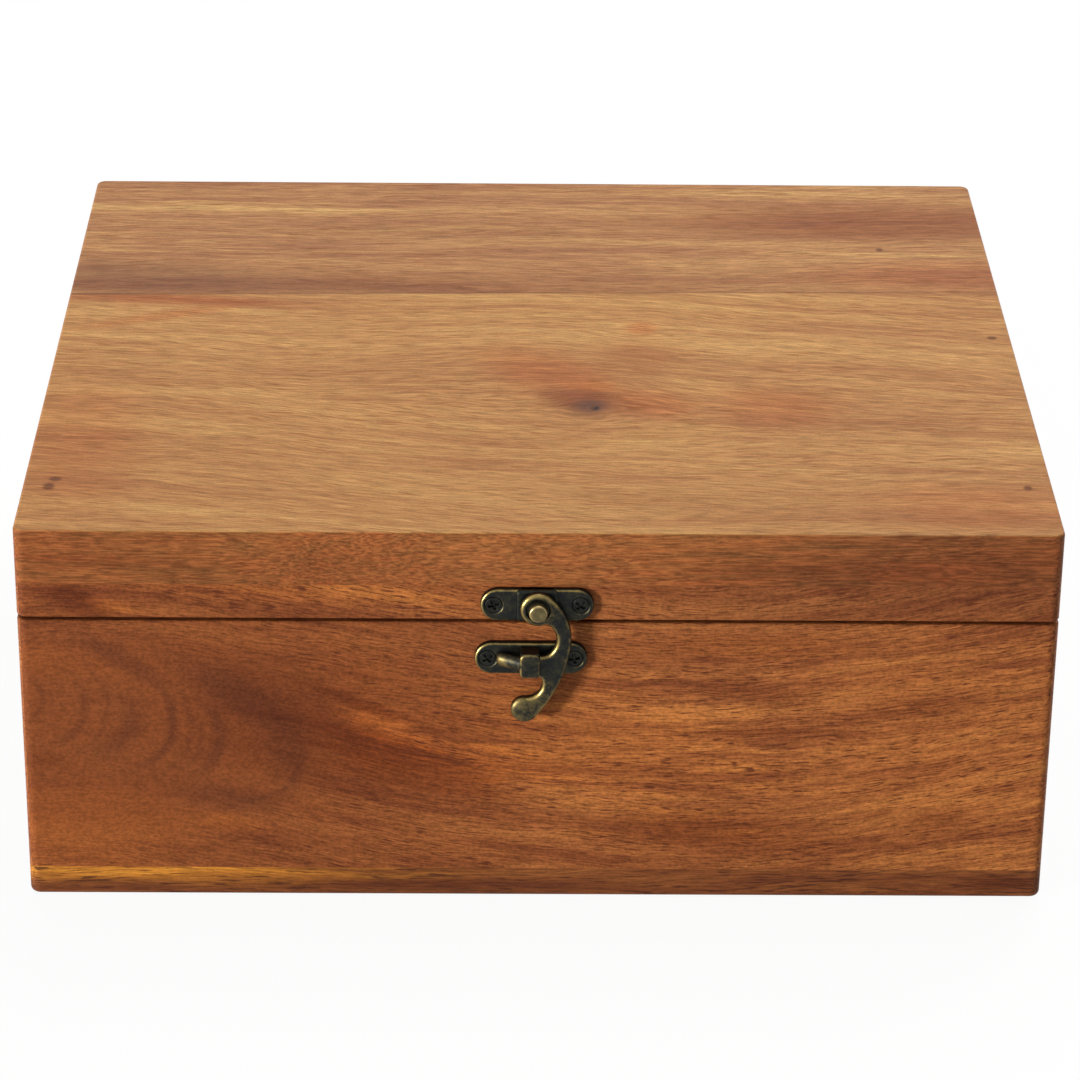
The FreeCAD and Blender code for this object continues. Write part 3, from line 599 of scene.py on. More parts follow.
dress(front_wood, "lid_front_rail", "base_front_wall")

# %% [markdown]
# ## The bottom and the walls that the photograph hides
#
# Only the front edge of the bottom board shows, as a strip with a stripe of yellow sapwood: the youngest wood, just
# under the bark. The side and back walls can't be seen. They come from the same kind of tree, so they use the same
# recipe with other seeds, and the side walls' fibres run from front to back.

# %% Bottom, sides and back
SAPWOOD = (2.50, 3.05, 1.45)


def sapwood(recipe, colour):
    """A yellow stripe along the top of the front edge, no deeper than a finger is thick."""
    into = recipe.split(recipe.add("ShaderNodeTexCoord", {}, "Object"))[1]
    near_front = recipe.ramp(into, -0.106, -0.092, 1.0, 0.0)
    yellow = patch(recipe, colour, -98, 7.8, 84, 5.0, 0, SAPWOOD, 0.18, 1.0)
    return recipe.mix(near_front, colour, yellow)


BOTTOM_PALETTE = ((0.300, 0.103, 0.030), (0.205, 0.062, 0.020), (0.125, 0.035, 0.015), (0.07, 0.020, 0.011))
bottom_wood = board(
    "wood_bottom", "xzy", 51.0, BOTTOM_PALETTE, extra=sapwood,
    patches=((116, 4.6, 13, 2.6, 0, DARK, 0.5, 1.0), (-30, 3.4, 50, 2.4, 0, DARK, 0.8, 0.6)),
)
dress(bottom_wood, "bottom_board")

SIDE_PALETTE = ((0.45, 0.165, 0.050), (0.350, 0.112, 0.034), (0.240, 0.068, 0.023), (0.12, 0.032, 0.014))
left_wood = board("wood_left", "yzx", 63.0, SIDE_PALETTE, bends=((0.0, 0.0012),))
dress(left_wood, "base_left_wall", "lid_left_rail")
right_wood = board("wood_right", "yzx", 79.0, SIDE_PALETTE, bends=((40.0, 0.0008),),
                   knots=(((-20, 40), (26, 16), 0.7),), patches=((-20, 40, 10, 6, 0, RED, 0.3, 1.0),))
dress(right_wood, "base_right_wall", "lid_right_rail")
back_wood = board("wood_back", "xzy", 91.0, SIDE_PALETTE, bends=((-60.0, 0.0014),))
dress(back_wood, "base_back_wall", "lid_back_rail")

# %% [markdown]
# ## Antique bronze
#
# The latch is brass that was darkened in a bath and then rubbed. The dark coat stayed on the flat faces and in the
# corners, and the rub bared the brass along the edges that stick out. A material can find such edges by itself only
# while Cycles renders, and that finding is lost when the model is exported. The pieces below know where their
# own edges are, because they are worked out from formulas, so each one stores a number between 0 and 1 at every
# point: how much of the coat is gone there. Part of that number is a painted highlight: the sides that face the key
# lamp at the left get more bare brass, so that they shine as if lit. The number is kept as a point attribute of the
# mesh, and the material reads it.

# %% A metal with a worn coat
def aged_metal(name, coat, coat_light, bare, wear_bias=0.0, edges=None):
    """Dark coat over bright metal. Fine mottling breaks the border between the two. `edges` can take the stored
    attribute's place.
    """
    recipe = Recipe(bpy.data.materials.new(name))
    point = recipe.millimetres()
    mottle = recipe.noise(point, (1.5, 1.5), detail=4.0, roughness=0.65, seed=3.0)
    grit = recipe.noise(point, (0.22, 0.22), detail=2.0, roughness=0.6, seed=5.0)
    # The stored attribute holds wear and a painted highlight on the sides that face the key lamp.
    wear = edges(recipe, point) if edges else recipe.add("ShaderNodeAttribute", {}, "Fac", attribute_name="wear")
    rubbed_and_glint = recipe.math("MULTIPLY_ADD", centred(recipe, mottle), 0.55, wear)
    rubbed_and_glint = recipe.math("MULTIPLY_ADD", centred(recipe, grit), 0.30, rubbed_and_glint)
    share = recipe.ramp(recipe.math("ADD", rubbed_and_glint, wear_bias), 0.22, 1.0)
    dark = recipe.mix(recipe.ramp(mottle, 0.35, 0.7), coat, coat_light)
    dull = recipe.math("MULTIPLY_ADD", grit, 0.12, recipe.ramp(share, 0.0, 1.0, 0.40, 0.27))
    height = recipe.math("MULTIPLY_ADD", mottle, 0.5, grit)
    colour = recipe.mix(share, dark, bare)
    recipe.surface({"Base Color": colour, "Metallic": 1.0, "Roughness": dull}, height, 0.35, 0.00004)
    return recipe.owner


BRONZE_COLOURS = ((0.017, 0.019, 0.019), (0.036, 0.034, 0.023), (0.37, 0.268, 0.088))
BRONZE = aged_metal("aged_bronze", *BRONZE_COLOURS)
SCREW_METAL = aged_metal("aged_screws", (0.014, 0.015, 0.015), (0.030, 0.029, 0.024), (0.28, 0.23, 0.13), -0.1)
RIVET_METAL = aged_metal("rubbed_brass", (0.095, 0.076, 0.036), (0.165, 0.130, 0.060), (0.44, 0.335, 0.145), 0.05)
print("metals:", BRONZE.name, SCREW_METAL.name, RIVET_METAL.name)

# %% [markdown]
# ## Surfaces from rings
#
# Every small casting here is a skin over a row of rings. A plate's rings are its outline, first at the back, then at
# the front, then drawn a little inwards and up round the eased edge. A screw's rings are circles. All the points
# come out of numpy at once as an array of rings x points x 3, and the faces join each ring to the next.
#
# A plate with holes has a flat face between its outline's last ring and each hole's first one, which no grid can
# fill, so that face alone is cut into triangles by Blender's own polygon filler.
#
# Shapes are written as if they lay on a bench: x to the right, z upwards and `out` towards the viewer. The last
# functions stand them up against the box.

# %% Tools for ring surfaces
FRONT_Y = -115.0
MERGE_DISTANCE = 1e-7
SHARP_ANGLE = np.radians(40)
AROUND = np.linspace(0, 2 * np.pi, 96, endpoint=False)


def ring_faces(rings, points, start):
    """Quads between each ring and the next."""
    ring, point = np.meshgrid(np.arange(rings - 1), np.arange(points), indexing="ij")
    here, beside = start + ring * points + point, start + ring * points + (point + 1) % points
    return np.stack([here, beside, beside + points, here + points], axis=-1).reshape(-1, 4).tolist()


def fan_faces(ring_start, points, middle):
    """Triangles from a ring to one point in its middle."""
    spot = np.arange(points)
    return np.stack([ring_start + spot, ring_start + (spot + 1) % points, np.full(points, middle)], axis=-1).tolist()


def closed_skin(rings, wear):
    """A surface through all rings (rings x points x 3), with a fan over each end. Wear, with its painted highlight, has
    a value per point.
    """
    rows, points, _ = rings.shape
    total = rows * points
    ends = rings[[0, -1]].mean(axis=1)
    where = np.concatenate([rings.reshape(-1, 3), ends])
    rub_and_glint = np.concatenate([wear.reshape(-1), wear[[0, -1]].mean(axis=1)])
    faces = ring_faces(rows, points, 0) + fan_faces(0, points, total) + fan_faces(total - points, points, total + 1)
    return where, faces, rub_and_glint


def pierced_skin(outline, holes):
    """A plate from pairs of rings and wear with its painted highlight. The outline's rings run from back to face, a
    hole's from face to back.
    """
    where, rub_and_glint, faces, loops, start = [], [], [], [], 0
    for rings, wear in [outline, *holes]:
        rows, points = rings.shape[:2]
        where.append(rings.reshape(-1, 3))
        rub_and_glint.append(wear.reshape(-1))
        faces += ring_faces(rows, points, start)
        first, last = start + np.arange(points), start + (rows - 1) * points + np.arange(points)
        loops.append((first, last) if start else (last, first))
        start += rows * points
    where, rub_and_glint = np.concatenate(where), np.concatenate(rub_and_glint)
    for level in zip(*loops):
        flat = [[Vector((x, z, 0.0)) for x, z in where[loop][:, [0, 2]].tolist()] for loop in level]
        faces += np.concatenate(level)[np.array(tessellate_polygon(flat))].tolist()
    return where, faces, rub_and_glint


def cast(name, body, material, shells):
    """One piece from one or more closed shells in model millimetres. It stands for the solid of the same name."""
    places, faces, rub_and_glint, start = [], [], [], 0
    for where, shell_faces, wear in shells:
        places.append(where)
        rub_and_glint.append(wear)
        faces += [[spot + start for spot in face] for face in shell_faces]
        start += len(where)
    mesh = bpy.data.meshes.new(name)
    mesh.from_pydata((np.concatenate(places) * MM).tolist(), [], faces)
    mesh.attributes.new("wear", "FLOAT", "POINT").data.foreach_set("value", np.concatenate(rub_and_glint).astype(np.float32))
    work = bmesh.new()
    work.from_mesh(mesh)
    bmesh.ops.remove_doubles(work, verts=work.verts, dist=MERGE_DISTANCE)
    flat = {face for face in work.faces if len(face.verts) == 3}
    inner = [edge for edge in work.edges if len(edge.link_faces) == 2 and flat.issuperset(edge.link_faces)]
    bmesh.ops.beautify_fill(work, faces=list(flat), edges=inner)
    bmesh.ops.recalc_face_normals(work, faces=work.faces)
    work.to_mesh(mesh)
    work.free()
    mesh.shade_smooth()
    mesh.set_sharp_from_angle(angle=SHARP_ANGLE)
    mesh.materials.append(material)
    piece = bpy.data.objects.new(name + "_cast", mesh)
    scene.collection.objects.link(piece)
    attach(piece, body)
    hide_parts(name)
    print(f"{piece.name}: {len(mesh.polygons)} faces on {body}")


def on_front(x, z, out):
    """Bench coordinates to the box's front face."""
    return np.stack(np.broadcast_arrays(x, FRONT_Y - out, z), axis=-1)


def circles(centre, radii, heights):
    """One circle per radius and height, all about the same axis."""
    radii, heights = np.reshape(radii, (-1, 1)), np.reshape(heights, (-1, 1))
    return on_front(centre[0] + radii * np.cos(AROUND), centre[1] + radii * np.sin(AROUND), heights)


def favoured(share, towards):
    """A factor for each point of a circle: 1 on the side that faces `towards` in degrees, 1 - 2 `share` opposite. It
    paints a highlight on the side that faces the key lamp.
    """
    return 1 - share + share * np.cos(AROUND - np.radians(towards))


# %% [markdown]
# ## Outlines and eased edges
#
# A latch plate is a rectangle with round ends, which is every point at one distance from a short line. The hook is
# freer: arcs that touch, and a few corners. Where two arcs touch, their ends simply join. At a corner both are cut
# back a little, and a quadratic Bezier curve bridges the gap, with the corner as its control point.

# %% Outlines
STEP, ARC_STEP = 0.2, 0.08
PLATE_SIZE = (27.1, 8.3)


def resample(curve, start, end):
    """The curve in even steps, without its first and last few millimetres."""
    length = np.concatenate([[0.0], np.cumsum(np.linalg.norm(np.diff(curve, axis=0), axis=1))])
    spots = np.linspace(start, length[-1] - end, max(int(length[-1] / STEP), 3))
    return np.stack([np.interp(spots, length, curve[:, axis]) for axis in (0, 1)], axis=1)


def arc(centre, radius, first, last):
    """An arc between two angles in degrees."""
    turn = np.radians(np.linspace(first, last, max(int(abs(np.radians(last - first)) * radius / ARC_STEP), 8)))
    return np.asarray(centre) + radius * np.stack([np.cos(turn), np.sin(turn)], axis=1)


def joined(curves, cut_back):
    """A closed outline from curves end to end. `cut_back` is the reach of the corner after each curve, or 0."""
    pieces = []
    for index, curve in enumerate(curves):
        after = cut_back[index]
        here = resample(curve, cut_back[index - 1], after)
        pieces.append(here[:-1])
        following = resample(curves[(index + 1) % len(curves)], after, 0.0)
        if after:
            t = np.linspace(0, 1, 12)[:-1, None]
            pieces.append((1 - t) ** 2 * here[-1] + 2 * t * (1 - t) * curve[-1] + t**2 * following[0])
    loop = np.concatenate(pieces)
    return resample(np.concatenate([loop, loop[:1]]), 0.0, 0.0)[:-1]


def outward(loop):
    """The direction straight out of a closed outline, at each of its points."""
    along = np.roll(loop, -1, axis=0) - np.roll(loop, 1, axis=0)
    along = along + np.roll(along, 1, axis=0) + np.roll(along, -1, axis=0)
    along /= np.linalg.norm(along, axis=1, keepdims=True)
    x, z = loop.T
    turns_left = np.sum(x * np.roll(z, -1) - np.roll(x, -1) * z) > 0
    return np.stack([along[:, 1], -along[:, 0]], axis=1) * (1 if turns_left else -1)


def eased(loop, back, face, edge, reach, rub_and_glint=1.0):
    """Rings for a plate: up the side, then in to the face on a quarter ellipse, `edge` high and `reach` wide.

    The wear is highest half way round the edge. The side that looks up to the left, towards the key lamp, gets more
    bare brass as a painted highlight.
    """
    turn = np.radians(np.linspace(0, 90, 12))
    inset = np.concatenate([[0.12, 0.0], reach * (1 - np.cos(turn)), [reach * 1.05]])
    rise = np.concatenate([[back, back + 0.12], face - edge + edge * np.sin(turn), [face]])
    bare = np.concatenate([[0.0, 0.1], 0.15 + 0.85 * np.sin(2 * turn) ** 2, [0.1]])
    away = outward(loop)
    plane = loop[None] - inset[:, None, None] * away[None]
    # Painted highlight: edges that face up and to the left, towards the key lamp, get more bare brass than those that
    # face away.
    lamp_side_glint = 0.62 + 0.38 * np.clip(away @ np.array([-0.85, 0.30]), -0.6, 1.0)
    return on_front(plane[..., 0], plane[..., 1], rise[:, None]), rub_and_glint * bare[:, None] * lamp_side_glint[None]


def pillow(loop, back, face, edge, crown=0.0, rub_and_glint=1.0, shine=0.0):
    """A closed skin with the same eased edge, and then rings that shrink to the middle over a crown.

    Drawing a ring straight inwards by more than its corner's radius would turn the corner inside out. Shrinking
    towards the middle never does.
    """
    rings, wear = eased(loop, back, face - crown, edge, edge, rub_and_glint)
    rings, wear = rings[:-1], wear[:-1]
    share = np.array([0.15, 0.35, 0.6, 0.85, 0.97])[:, None, None]
    middle = rings[-1].mean(axis=0)
    inner = rings[-1] * (1 - share) + middle * share
    inner[..., 1] -= crown * (1 - (1 - share[..., 0]) ** 2)
    fade = np.broadcast_to(0.15 * rub_and_glint * (1 - share[..., 0]) ** 3, inner.shape[:2])
    wear = np.concatenate([wear, fade])
    wear[2:] += shine
    return closed_skin(np.concatenate([rings, inner]), wear)


def round_hole(centre, radii, heights, rub_and_glint):
    """Rings of a round hole, from the face to the back. The wall that faces up to the left, towards the key lamp, gets
    more wear as a painted highlight.
    """
    return circles(centre, radii, heights), np.reshape(rub_and_glint, (-1, 1)) * favoured(0.3, -20)


def stadium(centre, length, height):
    """A rectangle with round ends."""
    straight, radius = (length - height) / 2, height / 2
    right, left = (centre[0] + straight, centre[1]), (centre[0] - straight, centre[1])
    ends = [arc(right, radius, 90, -90), arc(left, radius, -90, -270)]
    sides = [np.array([ends[0][-1], ends[1][0]]), np.array([ends[1][-1], ends[0][0]])]
    return joined([ends[0], sides[0], ends[1], sides[1]], (0, 0, 0, 0))


def rounded_rectangle(low, high, radii):
    """A rectangle whose corners (right bottom, left bottom, left top, right top) are cut back by `radii`."""
    corners = np.array([[high[0], low[1]], [low[0], low[1]], [low[0], high[1]], [high[0], high[1]]])
    sides = [np.array([corners[index - 1], corners[index]]) for index in range(4)]
    return joined(sides, radii)


print("a plate's outline has", len(stadium((0, 0), *PLATE_SIZE)), "points")

# %% [markdown]
# ## The two plates
#
# Both plates are the same casting at heart: 27 mm long, 1.8 mm thick, with a countersunk hole near each end. The
# lid's plate has a raised middle for the hook to turn on. The base's plate carries the catch: a small pillow-shaped
# tab, held out in front by a rib at the top and by a curved horn at the left. The hook's tongue slips in behind the
# tab. Rib, horn and tab are skins of their own that run into each other, as a filed casting does.

# %% Lid plate
PLATE_FACE = 1.8
SCREW_REACH = 10.4
LID_PLATE = np.array([-0.45, 81.6])
BASE_PLATE = np.array([-1.8, 67.3])
PIVOT = np.array([-0.2, 81.6])


def screw_seats(centre):
    """The countersunk holes: a soft rim, a short wall, the cone and the bore."""
    radii = (2.50, 2.38, 2.28, 2.12, 2.04, 1.34, 1.32)
    heights = (PLATE_FACE, PLATE_FACE - 0.03, PLATE_FACE - 0.12, PLATE_FACE - 0.24, 1.45, 0.80, 0.0)
    rub_and_glint = (0.15, 0.45, 0.30, 0.0, 0.0, 0.0, 0.0)
    return [round_hole(centre + np.array([side * SCREW_REACH, 0.0]), radii, heights, rub_and_glint) for side in (-1, 1)]


def plate(centre, *bores):
    """A plate with an eased rim, its two screw seats and any other bores."""
    rim = eased(stadium(centre, *PLATE_SIZE), back=0.0, face=PLATE_FACE, edge=0.6, reach=0.8, rub_and_glint=0.85)
    return pierced_skin(rim, [*screw_seats(centre), *bores])


pivot_bore = round_hole(PIVOT, (1.52, 1.5, 1.5), (PLATE_FACE, PLATE_FACE - 0.05, 0.0), (0.0, 0.0, 0.0))
BOSS_HALF = np.array([5.0, 4.15])
boss_outline = rounded_rectangle(LID_PLATE - BOSS_HALF, LID_PLATE + BOSS_HALF, (1.1, 1.1, 1.1, 1.1))
boss = pillow(boss_outline, back=0.05, face=2.3, edge=0.7, rub_and_glint=0.18)
pad = pillow(arc(PIVOT, 2.4, 0, 360)[:-1], back=1.0, face=2.65, edge=0.1, rub_and_glint=0.3)
cast("latch_plate", "lid", BRONZE, [plate(LID_PLATE, pivot_bore), boss, pad])

# %% Base plate with its catch
TAB_CENTRE = np.array([-2.1, 67.5])
TAB_HALF = np.array([2.5, 3.2])
TAB_LOW, TAB_HIGH = TAB_CENTRE - TAB_HALF, TAB_CENTRE + TAB_HALF
RIB_UNDERSIDE = 69.4


def horn():
    """A bar with a round end that rises out of the plate and bends over to the tab.

    Its middle follows a parabola: x = -10.0 + 6.6 t and out = 1.7 + 3.6 t (1.35 - 0.35 t). Its section is an oval,
    and at the start it shrinks along a quarter circle. Its underside is filed level at 4.85 to clear the tongue's
    tip, with a slope of 45 degrees to the left of x = -4.
    """
    t = np.concatenate([(1 - np.cos(np.linspace(0.02, np.pi / 2, 16))) * 0.2, np.linspace(0.2, 1.0, 30)[1:]])[:, None]
    x, out = -10.0 + 6.6 * t, 1.7 + 3.6 * t * (1.35 - 0.35 * t)
    forward = np.stack([6.6 + 0 * t, 3.6 * (1.35 - 0.7 * t)], axis=-1)
    forward /= np.linalg.norm(forward, axis=-1, keepdims=True)
    girth = np.sqrt(1 - (1 - np.clip(t / 0.2, 0, 1)) ** 2)
    turn = np.linspace(0, 2 * np.pi, 48, endpoint=False)[None]
    thick, high = 1.35 * girth * np.cos(turn), 1.75 * girth * np.sin(turn)
    x = x - forward[..., 1] * thick
    filed = 4.85 - np.clip(-4.0 - x, 0, None)
    rings = on_front(x, 67.6 + high, np.maximum(out + forward[..., 0] * thick, filed))
    # Wear on the round end, raised on its front-left side as a painted highlight from the key lamp.
    rub_and_glint = 0.30 + 0.50 * np.clip(np.cos(turn + 0.2), 0, 1) * np.clip(1.0 - 1.8 * t, 0, 1) + 0 * turn
    return closed_skin(rings, rub_and_glint)


tab_outline = rounded_rectangle(TAB_LOW, TAB_HIGH, (1.25, 1.25, 1.8, 1.8))
tab = pillow(tab_outline, back=5.0, face=6.7, edge=0.78, crown=0.2, rub_and_glint=0.5, shine=0.22)
rib_low, rib_high = (TAB_LOW[0] + 0.2, RIB_UNDERSIDE), (TAB_HIGH[0] - 0.2, TAB_HIGH[1] - 0.05)
rib = pillow(rounded_rectangle(rib_low, rib_high, (0.2, 0.2, 0.5, 0.5)), back=1.0, face=5.8, edge=0.1, rub_and_glint=0.0)
cast("catch_plate", "base", BRONZE, [plate(BASE_PLATE), tab, rib, horn()])

# %% [markdown]
# ## The swing hook
#
# The hook is one flat casting: an eye, an arm that bows to the right, a tongue that points back to the left, and a
# ball for the finger. Its outer side is two arcs that touch at the bend. The second of them also touches the ball,
# and the notch above the ball touches it from the other side.

# %% Hook
EYE_RADIUS, INSIDE_RADIUS, BALL_RADIUS, NOTCH_RADIUS, LOWER_RADIUS = 4.3, 4.95, 3.35, 3.8, 35.5
HOOK_BACK, HOOK_FACE, HOOK_EDGE, HOOK_REACH = 2.75, 4.65, 0.95, 1.1
LEAVES_EYE, MEETS_BALL, LEAVES_BALL = 50.0, -40.9, 87.0


def angle(vector):
    return np.degrees(np.arctan2(vector[1], vector[0]))


def direction(degrees):
    return np.array([np.cos(np.radians(degrees)), np.sin(np.radians(degrees))])


def hook_outline():
    """The outline about the pivot, clockwise from where the arm leaves the eye."""
    eye_out, bend = EYE_RADIUS * direction(LEAVES_EYE), np.array([7.95, -9.5])
    spread = (bend @ bend - EYE_RADIUS**2) / (2 * (EYE_RADIUS - bend @ direction(LEAVES_EYE)))
    upper = -spread * direction(LEAVES_EYE)
    lower = bend + LOWER_RADIUS * (upper - bend) / np.linalg.norm(upper - bend)
    ball = lower + (LOWER_RADIUS - BALL_RADIUS) * direction(MEETS_BALL)
    notch = ball + (BALL_RADIUS + NOTCH_RADIUS) * direction(LEAVES_BALL)
    tongue_top, tongue_low, tongue_tip = -12.35, -18.10, -3.4
    inside = np.array([-0.5, -8.0])
    gap = np.linalg.norm(inside)
    reach = (EYE_RADIUS**2 - INSIDE_RADIUS**2 + gap**2) / (2 * gap)
    aside = np.array([-inside[1], inside[0]]) / gap
    eye_in = inside / gap * reach + aside * np.sqrt(EYE_RADIUS**2 - reach**2)
    root_top = np.degrees(np.arcsin((tongue_top - inside[1]) / INSIDE_RADIUS))
    root_low = np.degrees(np.arcsin((tongue_low - notch[1]) / NOTCH_RADIUS))
    curves = [
        arc(upper, np.linalg.norm(eye_out - upper), LEAVES_EYE, angle(bend - upper)),
        arc(lower, LOWER_RADIUS, angle(bend - lower), MEETS_BALL),
        arc(ball, BALL_RADIUS, MEETS_BALL, LEAVES_BALL - 360.0),
        arc(notch, NOTCH_RADIUS, LEAVES_BALL - 180.0, root_low),
    ]
    low_root, low_tip, top_tip = curves[-1][-1], (tongue_tip, tongue_low), (tongue_tip, tongue_top)
    inner = arc(inside, INSIDE_RADIUS, root_top, angle(eye_in - inside))
    curves += [np.array([low_root, low_tip]), np.array([low_tip, top_tip]), np.array([top_tip, inner[0]]), inner,
               arc((0.0, 0.0), EYE_RADIUS, angle(eye_in), LEAVES_EYE - 360.0)]
    return joined(curves, (0, 0, 0, 0.7, 2.0, 2.0, 0.7, 0.7, 0)), ball


hook_loop, ball_centre = hook_outline()
# The eased edge carries its wear and a painted highlight on the sides that face the key lamp.
hook_rings, hook_wear = eased(PIVOT + hook_loop, HOOK_BACK, HOOK_FACE, HOOK_EDGE, HOOK_REACH, rub_and_glint=0.6)
low_end = np.clip((-18.0 - hook_loop[:, 1]) / 5.0, 0, 1)
eye_end = np.clip(1.2 - np.linalg.norm(hook_loop, axis=1) / 6.0, 0, 1)
hook_wear[2:] += 0.18 * low_end[None] + 0.20 * eye_end[None] + 0.16
eye_radii = (3.05, 2.99, 2.90, 2.82, 2.77, 2.75, 2.72, 1.60, 1.56, 1.56)
eye_heights = HOOK_FACE - np.array([0.0, 0.02, 0.08, 0.20, 0.38, 0.62, 0.70, 0.70, 0.75, HOOK_FACE - HOOK_BACK])
eye_hole = round_hole(PIVOT, eye_radii, eye_heights, (0.42, 0.42, 0.40, 0.25, 0.1, 0.0, 0.0, 0.0, 0.0, 0.0))


def finger_ball():
    """The ball's swelling: the hook's own eased edge, spun about the ball's middle, plus 0.5 (1 - (r / 3.1)^2)^2.

    Towards the arm it dips below the flat face, so it shows only where it rises above it.
    """
    radius = np.linspace(BALL_RADIUS - 0.05, 0.05, 40)[:, None]
    slope = np.clip((radius - BALL_RADIUS + HOOK_REACH) / HOOK_REACH, 0, 1)
    swelling = 0.5 * np.clip(1 - (radius / 3.1) ** 2, 0, 1) ** 2
    out = HOOK_FACE + 0.01 - HOOK_EDGE * (1 - np.sqrt(1 - slope**2)) + swelling
    top = circles(PIVOT + ball_centre, radius, out)
    floor = top[:1] * [1, 0, 1] + [0, FRONT_Y - HOOK_BACK - 0.4, 0]
    # The ball's rim wears most, and its upper left side most of all: a painted highlight from the key lamp.
    rub_and_glint = 0.34 + 0.34 * (radius / BALL_RADIUS) ** 2 * favoured(0.5, 155)
    return closed_skin(np.concatenate([floor, top]), np.concatenate([rub_and_glint[:1], rub_and_glint]))


cast("latch_swing_hook", "latch_hook", BRONZE,
     [pierced_skin((hook_rings, hook_wear), [eye_hole]), finger_ball()])

# %% [markdown]
# ## The rivet
#
# A rivet is a turned thing: its half-section, spun once round. This one was hammered over a little at the edge, and
# years of turning have kept its face bright.

# %% Rivet
RIVET_UNDER, RIVET_EDGE, RIVET_ROUND, RIVET_FLAT, RIVET_CROWN = 4.05, 6.12, 0.6, 1.65, 0.13


def rivet():
    """Circles from the tail up to the crown, with a rounded edge between the two."""
    turn = np.radians(np.linspace(0, 90, 9))
    low_dome = np.linspace(0.9, 0.05, 8)
    rim, crown = RIVET_FLAT + RIVET_ROUND * np.cos(turn), RIVET_FLAT * low_dome
    radii = np.concatenate([[0.2, 2.1, 1.5, 1.5, 2.2, 2.25], rim, crown])
    rim, crown = RIVET_ROUND * np.sin(turn), RIVET_ROUND + RIVET_CROWN * (1 - low_dome**2)
    tail = [0.0, 0.0, 0.6, RIVET_UNDER, RIVET_UNDER, RIVET_UNDER + 0.07]
    heights = np.concatenate([tail, RIVET_EDGE + rim, RIVET_EDGE + crown])
    rub_and_glint = np.concatenate([np.zeros(5), [0.2], 0.35 + 0.6 * np.sin(2 * turn) ** 2, 0.25 * np.ones(8)])
    # The wear is raised on the rivet's left side, a painted highlight from the key lamp.
    return closed_skin(circles(PIVOT, radii, heights), rub_and_glint[:, None] * favoured(0.25, 160))


cast("latch_pivot_rivet", "lid", RIVET_METAL, [rivet()])

# %% [markdown]
# ## Screws
#
# All twelve screws are alike, and each is a single grid. Its rows run from the middle of the head out to the rim,
# down the countersink and along the thread to the point, and its columns go round. On the head, two crossed slots
# are pressed into the grid. On the shank, the radius rises and falls with a phase that grows both along the screw
# and round it, which is exactly what a helix is.

# %% Screws
SCREW_LENGTH, THREAD_RADIUS, ROOT_RADIUS, PITCH, HEAD_RADIUS = 9.5, 1.1, 0.82, 0.9, 1.99
SUNK = 0.08
SLOT_ENDS, SLOT_SIDES = (1.15, 1.4), (0.20, 0.40)
THREAD_STARTS, THREAD_ENDS, TAPER_STARTS = (1.5, 2.4), (7.8, 8.8), 7.6


def soft_step(value, start, end):
    """0 before `start`, 1 after `end`, and an S between them."""
    t = np.clip((value - start) / (end - start), 0, 1)
    return t * t * (3 - 2 * t)


def screw(turned_by):
    """Points of one screw as right, up and out of its own head, and their wear. out is 0 at the plate's face."""
    around = np.linspace(0, 2 * np.pi, 72, endpoint=False)[None]
    radius = np.linspace(0.02, HEAD_RADIUS, 40)[:, None]
    across, up = radius * np.cos(around - turned_by), radius * np.sin(around - turned_by)
    along_slot, beside_slot = [1 - soft_step(np.abs([across, up]), *edge) for edge in (SLOT_ENDS, SLOT_SIDES)]
    recess = np.maximum(along_slot[0] * beside_slot[1], along_slot[1] * beside_slot[0])
    rim = soft_step(radius, 1.80, HEAD_RADIUS)
    head = -SUNK - 0.65 * recess - 0.10 * (radius / HEAD_RADIUS) ** 2 - 0.06 * rim
    depth = np.linspace(0.15, SCREW_LENGTH, 88)[:, None]
    crest = np.abs(((depth / PITCH - around / (2 * np.pi)) % 1.0) - 0.5) * 2
    cut = soft_step(depth, *THREAD_STARTS) * (1 - soft_step(depth, *THREAD_ENDS))
    shank = ROOT_RADIUS + (THREAD_RADIUS - ROOT_RADIUS) * cut * crest
    taper = 1 - 0.85 * soft_step(depth, TAPER_STARTS, SCREW_LENGTH)
    body = np.maximum(shank * taper, HEAD_RADIUS + 0.15 - depth)
    body = np.where(depth < 1.0, np.minimum(body, HEAD_RADIUS), body)
    radii = np.concatenate([radius + 0 * around, body])
    outs = np.concatenate([head, np.maximum(-0.12 - depth, -SCREW_LENGTH) + 0 * around])
    edge = recess * (1 - recess) * 4
    # The slots' edges and the head's rim are worn, and the rim's wear grows towards its upper left, a painted highlight
    # from the key lamp.
    rub_and_glint = np.concatenate([0.45 * edge + 0.45 * rim * (0.5 - 0.5 * np.cos(around + 0.6)), 0 * body])
    return radii * np.cos(around), radii * np.sin(around), outs, rub_and_glint


def screw_pair(centre, reach, seat, turns, front=1):
    """Two screws side by side at height `seat` over the box's front, or over its back where `front` is -1."""
    shells = []
    for side, turned_by in zip((-1, 1), turns):
        right, up, out, rub_and_glint = screw(np.radians(turned_by))
        spots = on_front(centre[0] + side * reach + front * right, centre[1] + up, seat + out)
        shells.append(closed_skin(spots * [1, front, 1], rub_and_glint))
    return shells


for name, body, centre, turns in (("latch", "lid", LID_PLATE, (20, 52)), ("catch", "base", BASE_PLATE, (38, 10))):
    shells = screw_pair(centre, SCREW_REACH, PLATE_FACE, turns)
    cast(f"{name}_plate_screws", body, SCREW_METAL, shells)

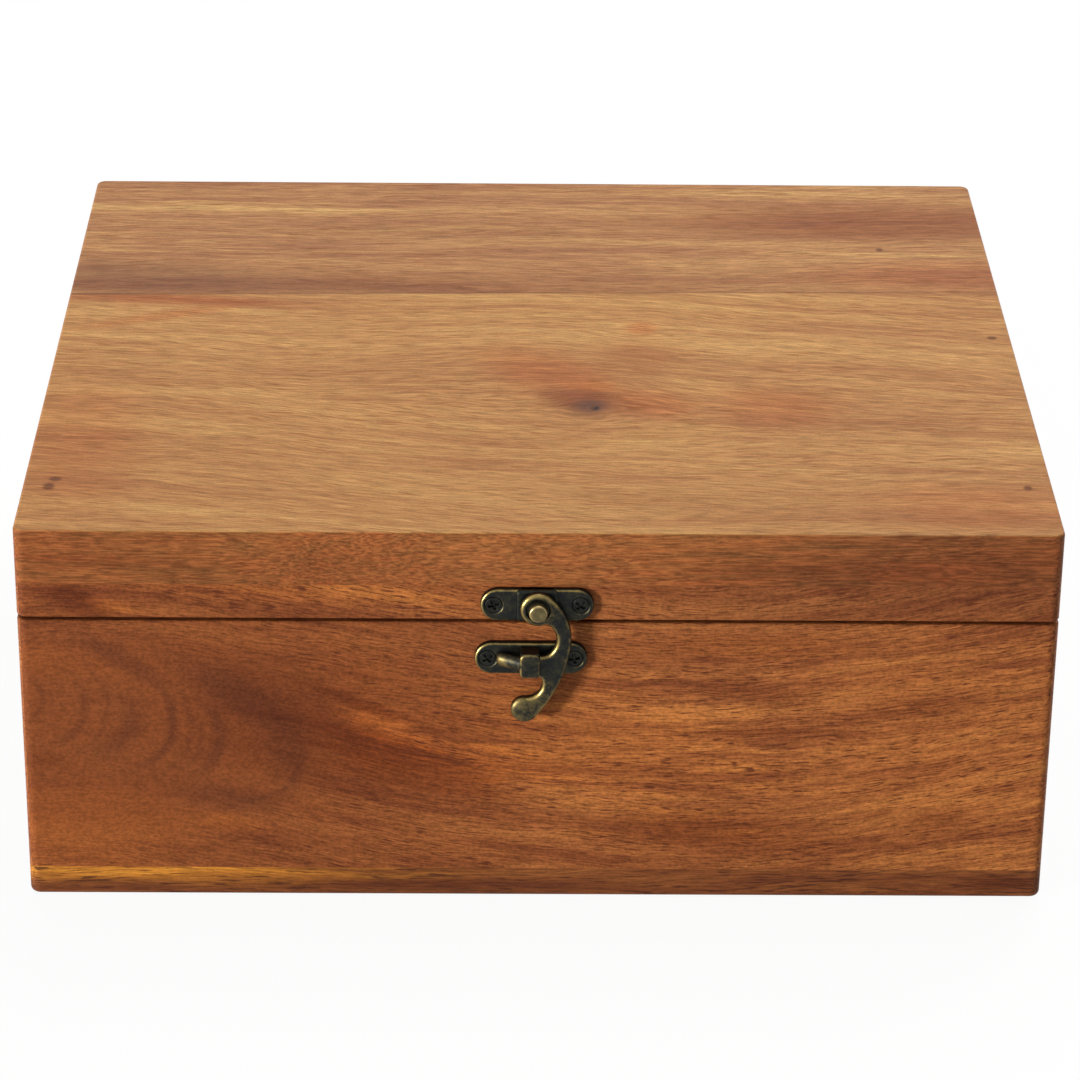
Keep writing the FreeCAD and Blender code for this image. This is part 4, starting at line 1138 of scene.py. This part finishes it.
# %% [markdown]
# ## The hinges
#
# The photograph doesn't show the back, so the hinges are plain small butt hinges in the same metal. Their shape in
# the solid model is already right, and they only need the finish. Their meshes carry no wear of their own, so the
# material works it out from the place: within a millimetre of a leaf's rim, and on the knuckles that stand out.

# %% Hinges
HINGE_X, HINGE_Z = 76.0, 76.5
LEAF_SHEET, LEAF_SCREW_X, LEAF_SCREW_Z = 0.9, 9.0, 5.575
LEAF_HALF_LENGTH, LEAF_REACH, KNUCKLE_BACK = 14.0, 9.2, 118.35
WORN_RIM, WORN_KNUCKLE = 0.9, 1.6


def leaf_edges(recipe, point):
    """Wear near a leaf's ends, near its long edge and on its knuckles, whichever is most."""
    x, y, z = recipe.split(point)
    from_middle = recipe.math("ABSOLUTE", recipe.math("SUBTRACT", recipe.math("ABSOLUTE", x), HINGE_X))
    from_pin = recipe.math("ABSOLUTE", recipe.math("SUBTRACT", z, HINGE_Z))
    ends = recipe.ramp(from_middle, LEAF_HALF_LENGTH - WORN_RIM, LEAF_HALF_LENGTH, 0.0, 0.75)
    rim = recipe.ramp(from_pin, LEAF_REACH - WORN_RIM, LEAF_REACH, 0.0, 0.75)
    knuckles = recipe.ramp(y, KNUCKLE_BACK - WORN_KNUCKLE, KNUCKLE_BACK, 0.0, 0.6)
    return recipe.math("MAXIMUM", recipe.math("MAXIMUM", ends, rim), knuckles)


def leaf_screws(centre_x, above, turns):
    """Two screws in a leaf, above or below the hinge line."""
    return screw_pair((centre_x, HINGE_Z + above * LEAF_SCREW_Z), LEAF_SCREW_X, LEAF_SHEET, turns, front=-1)


HINGE_METAL = aged_metal("aged_hinges", *BRONZE_COLOURS, edges=leaf_edges)
for side, centre_x, turns in (("left", -HINGE_X, (15, 70, 33, 48)), ("right", HINGE_X, (61, 5, 80, 27))):
    cast(f"{side}_hinge_lid_screws", "lid", SCREW_METAL, leaf_screws(centre_x, 1, turns[:2]))
    cast(f"{side}_hinge_base_screws", "base", SCREW_METAL, leaf_screws(centre_x, -1, turns[2:]))
    dress(HINGE_METAL, f"{side}_hinge_lid_leaf", f"{side}_hinge_base_leaf", f"{side}_hinge_pin")
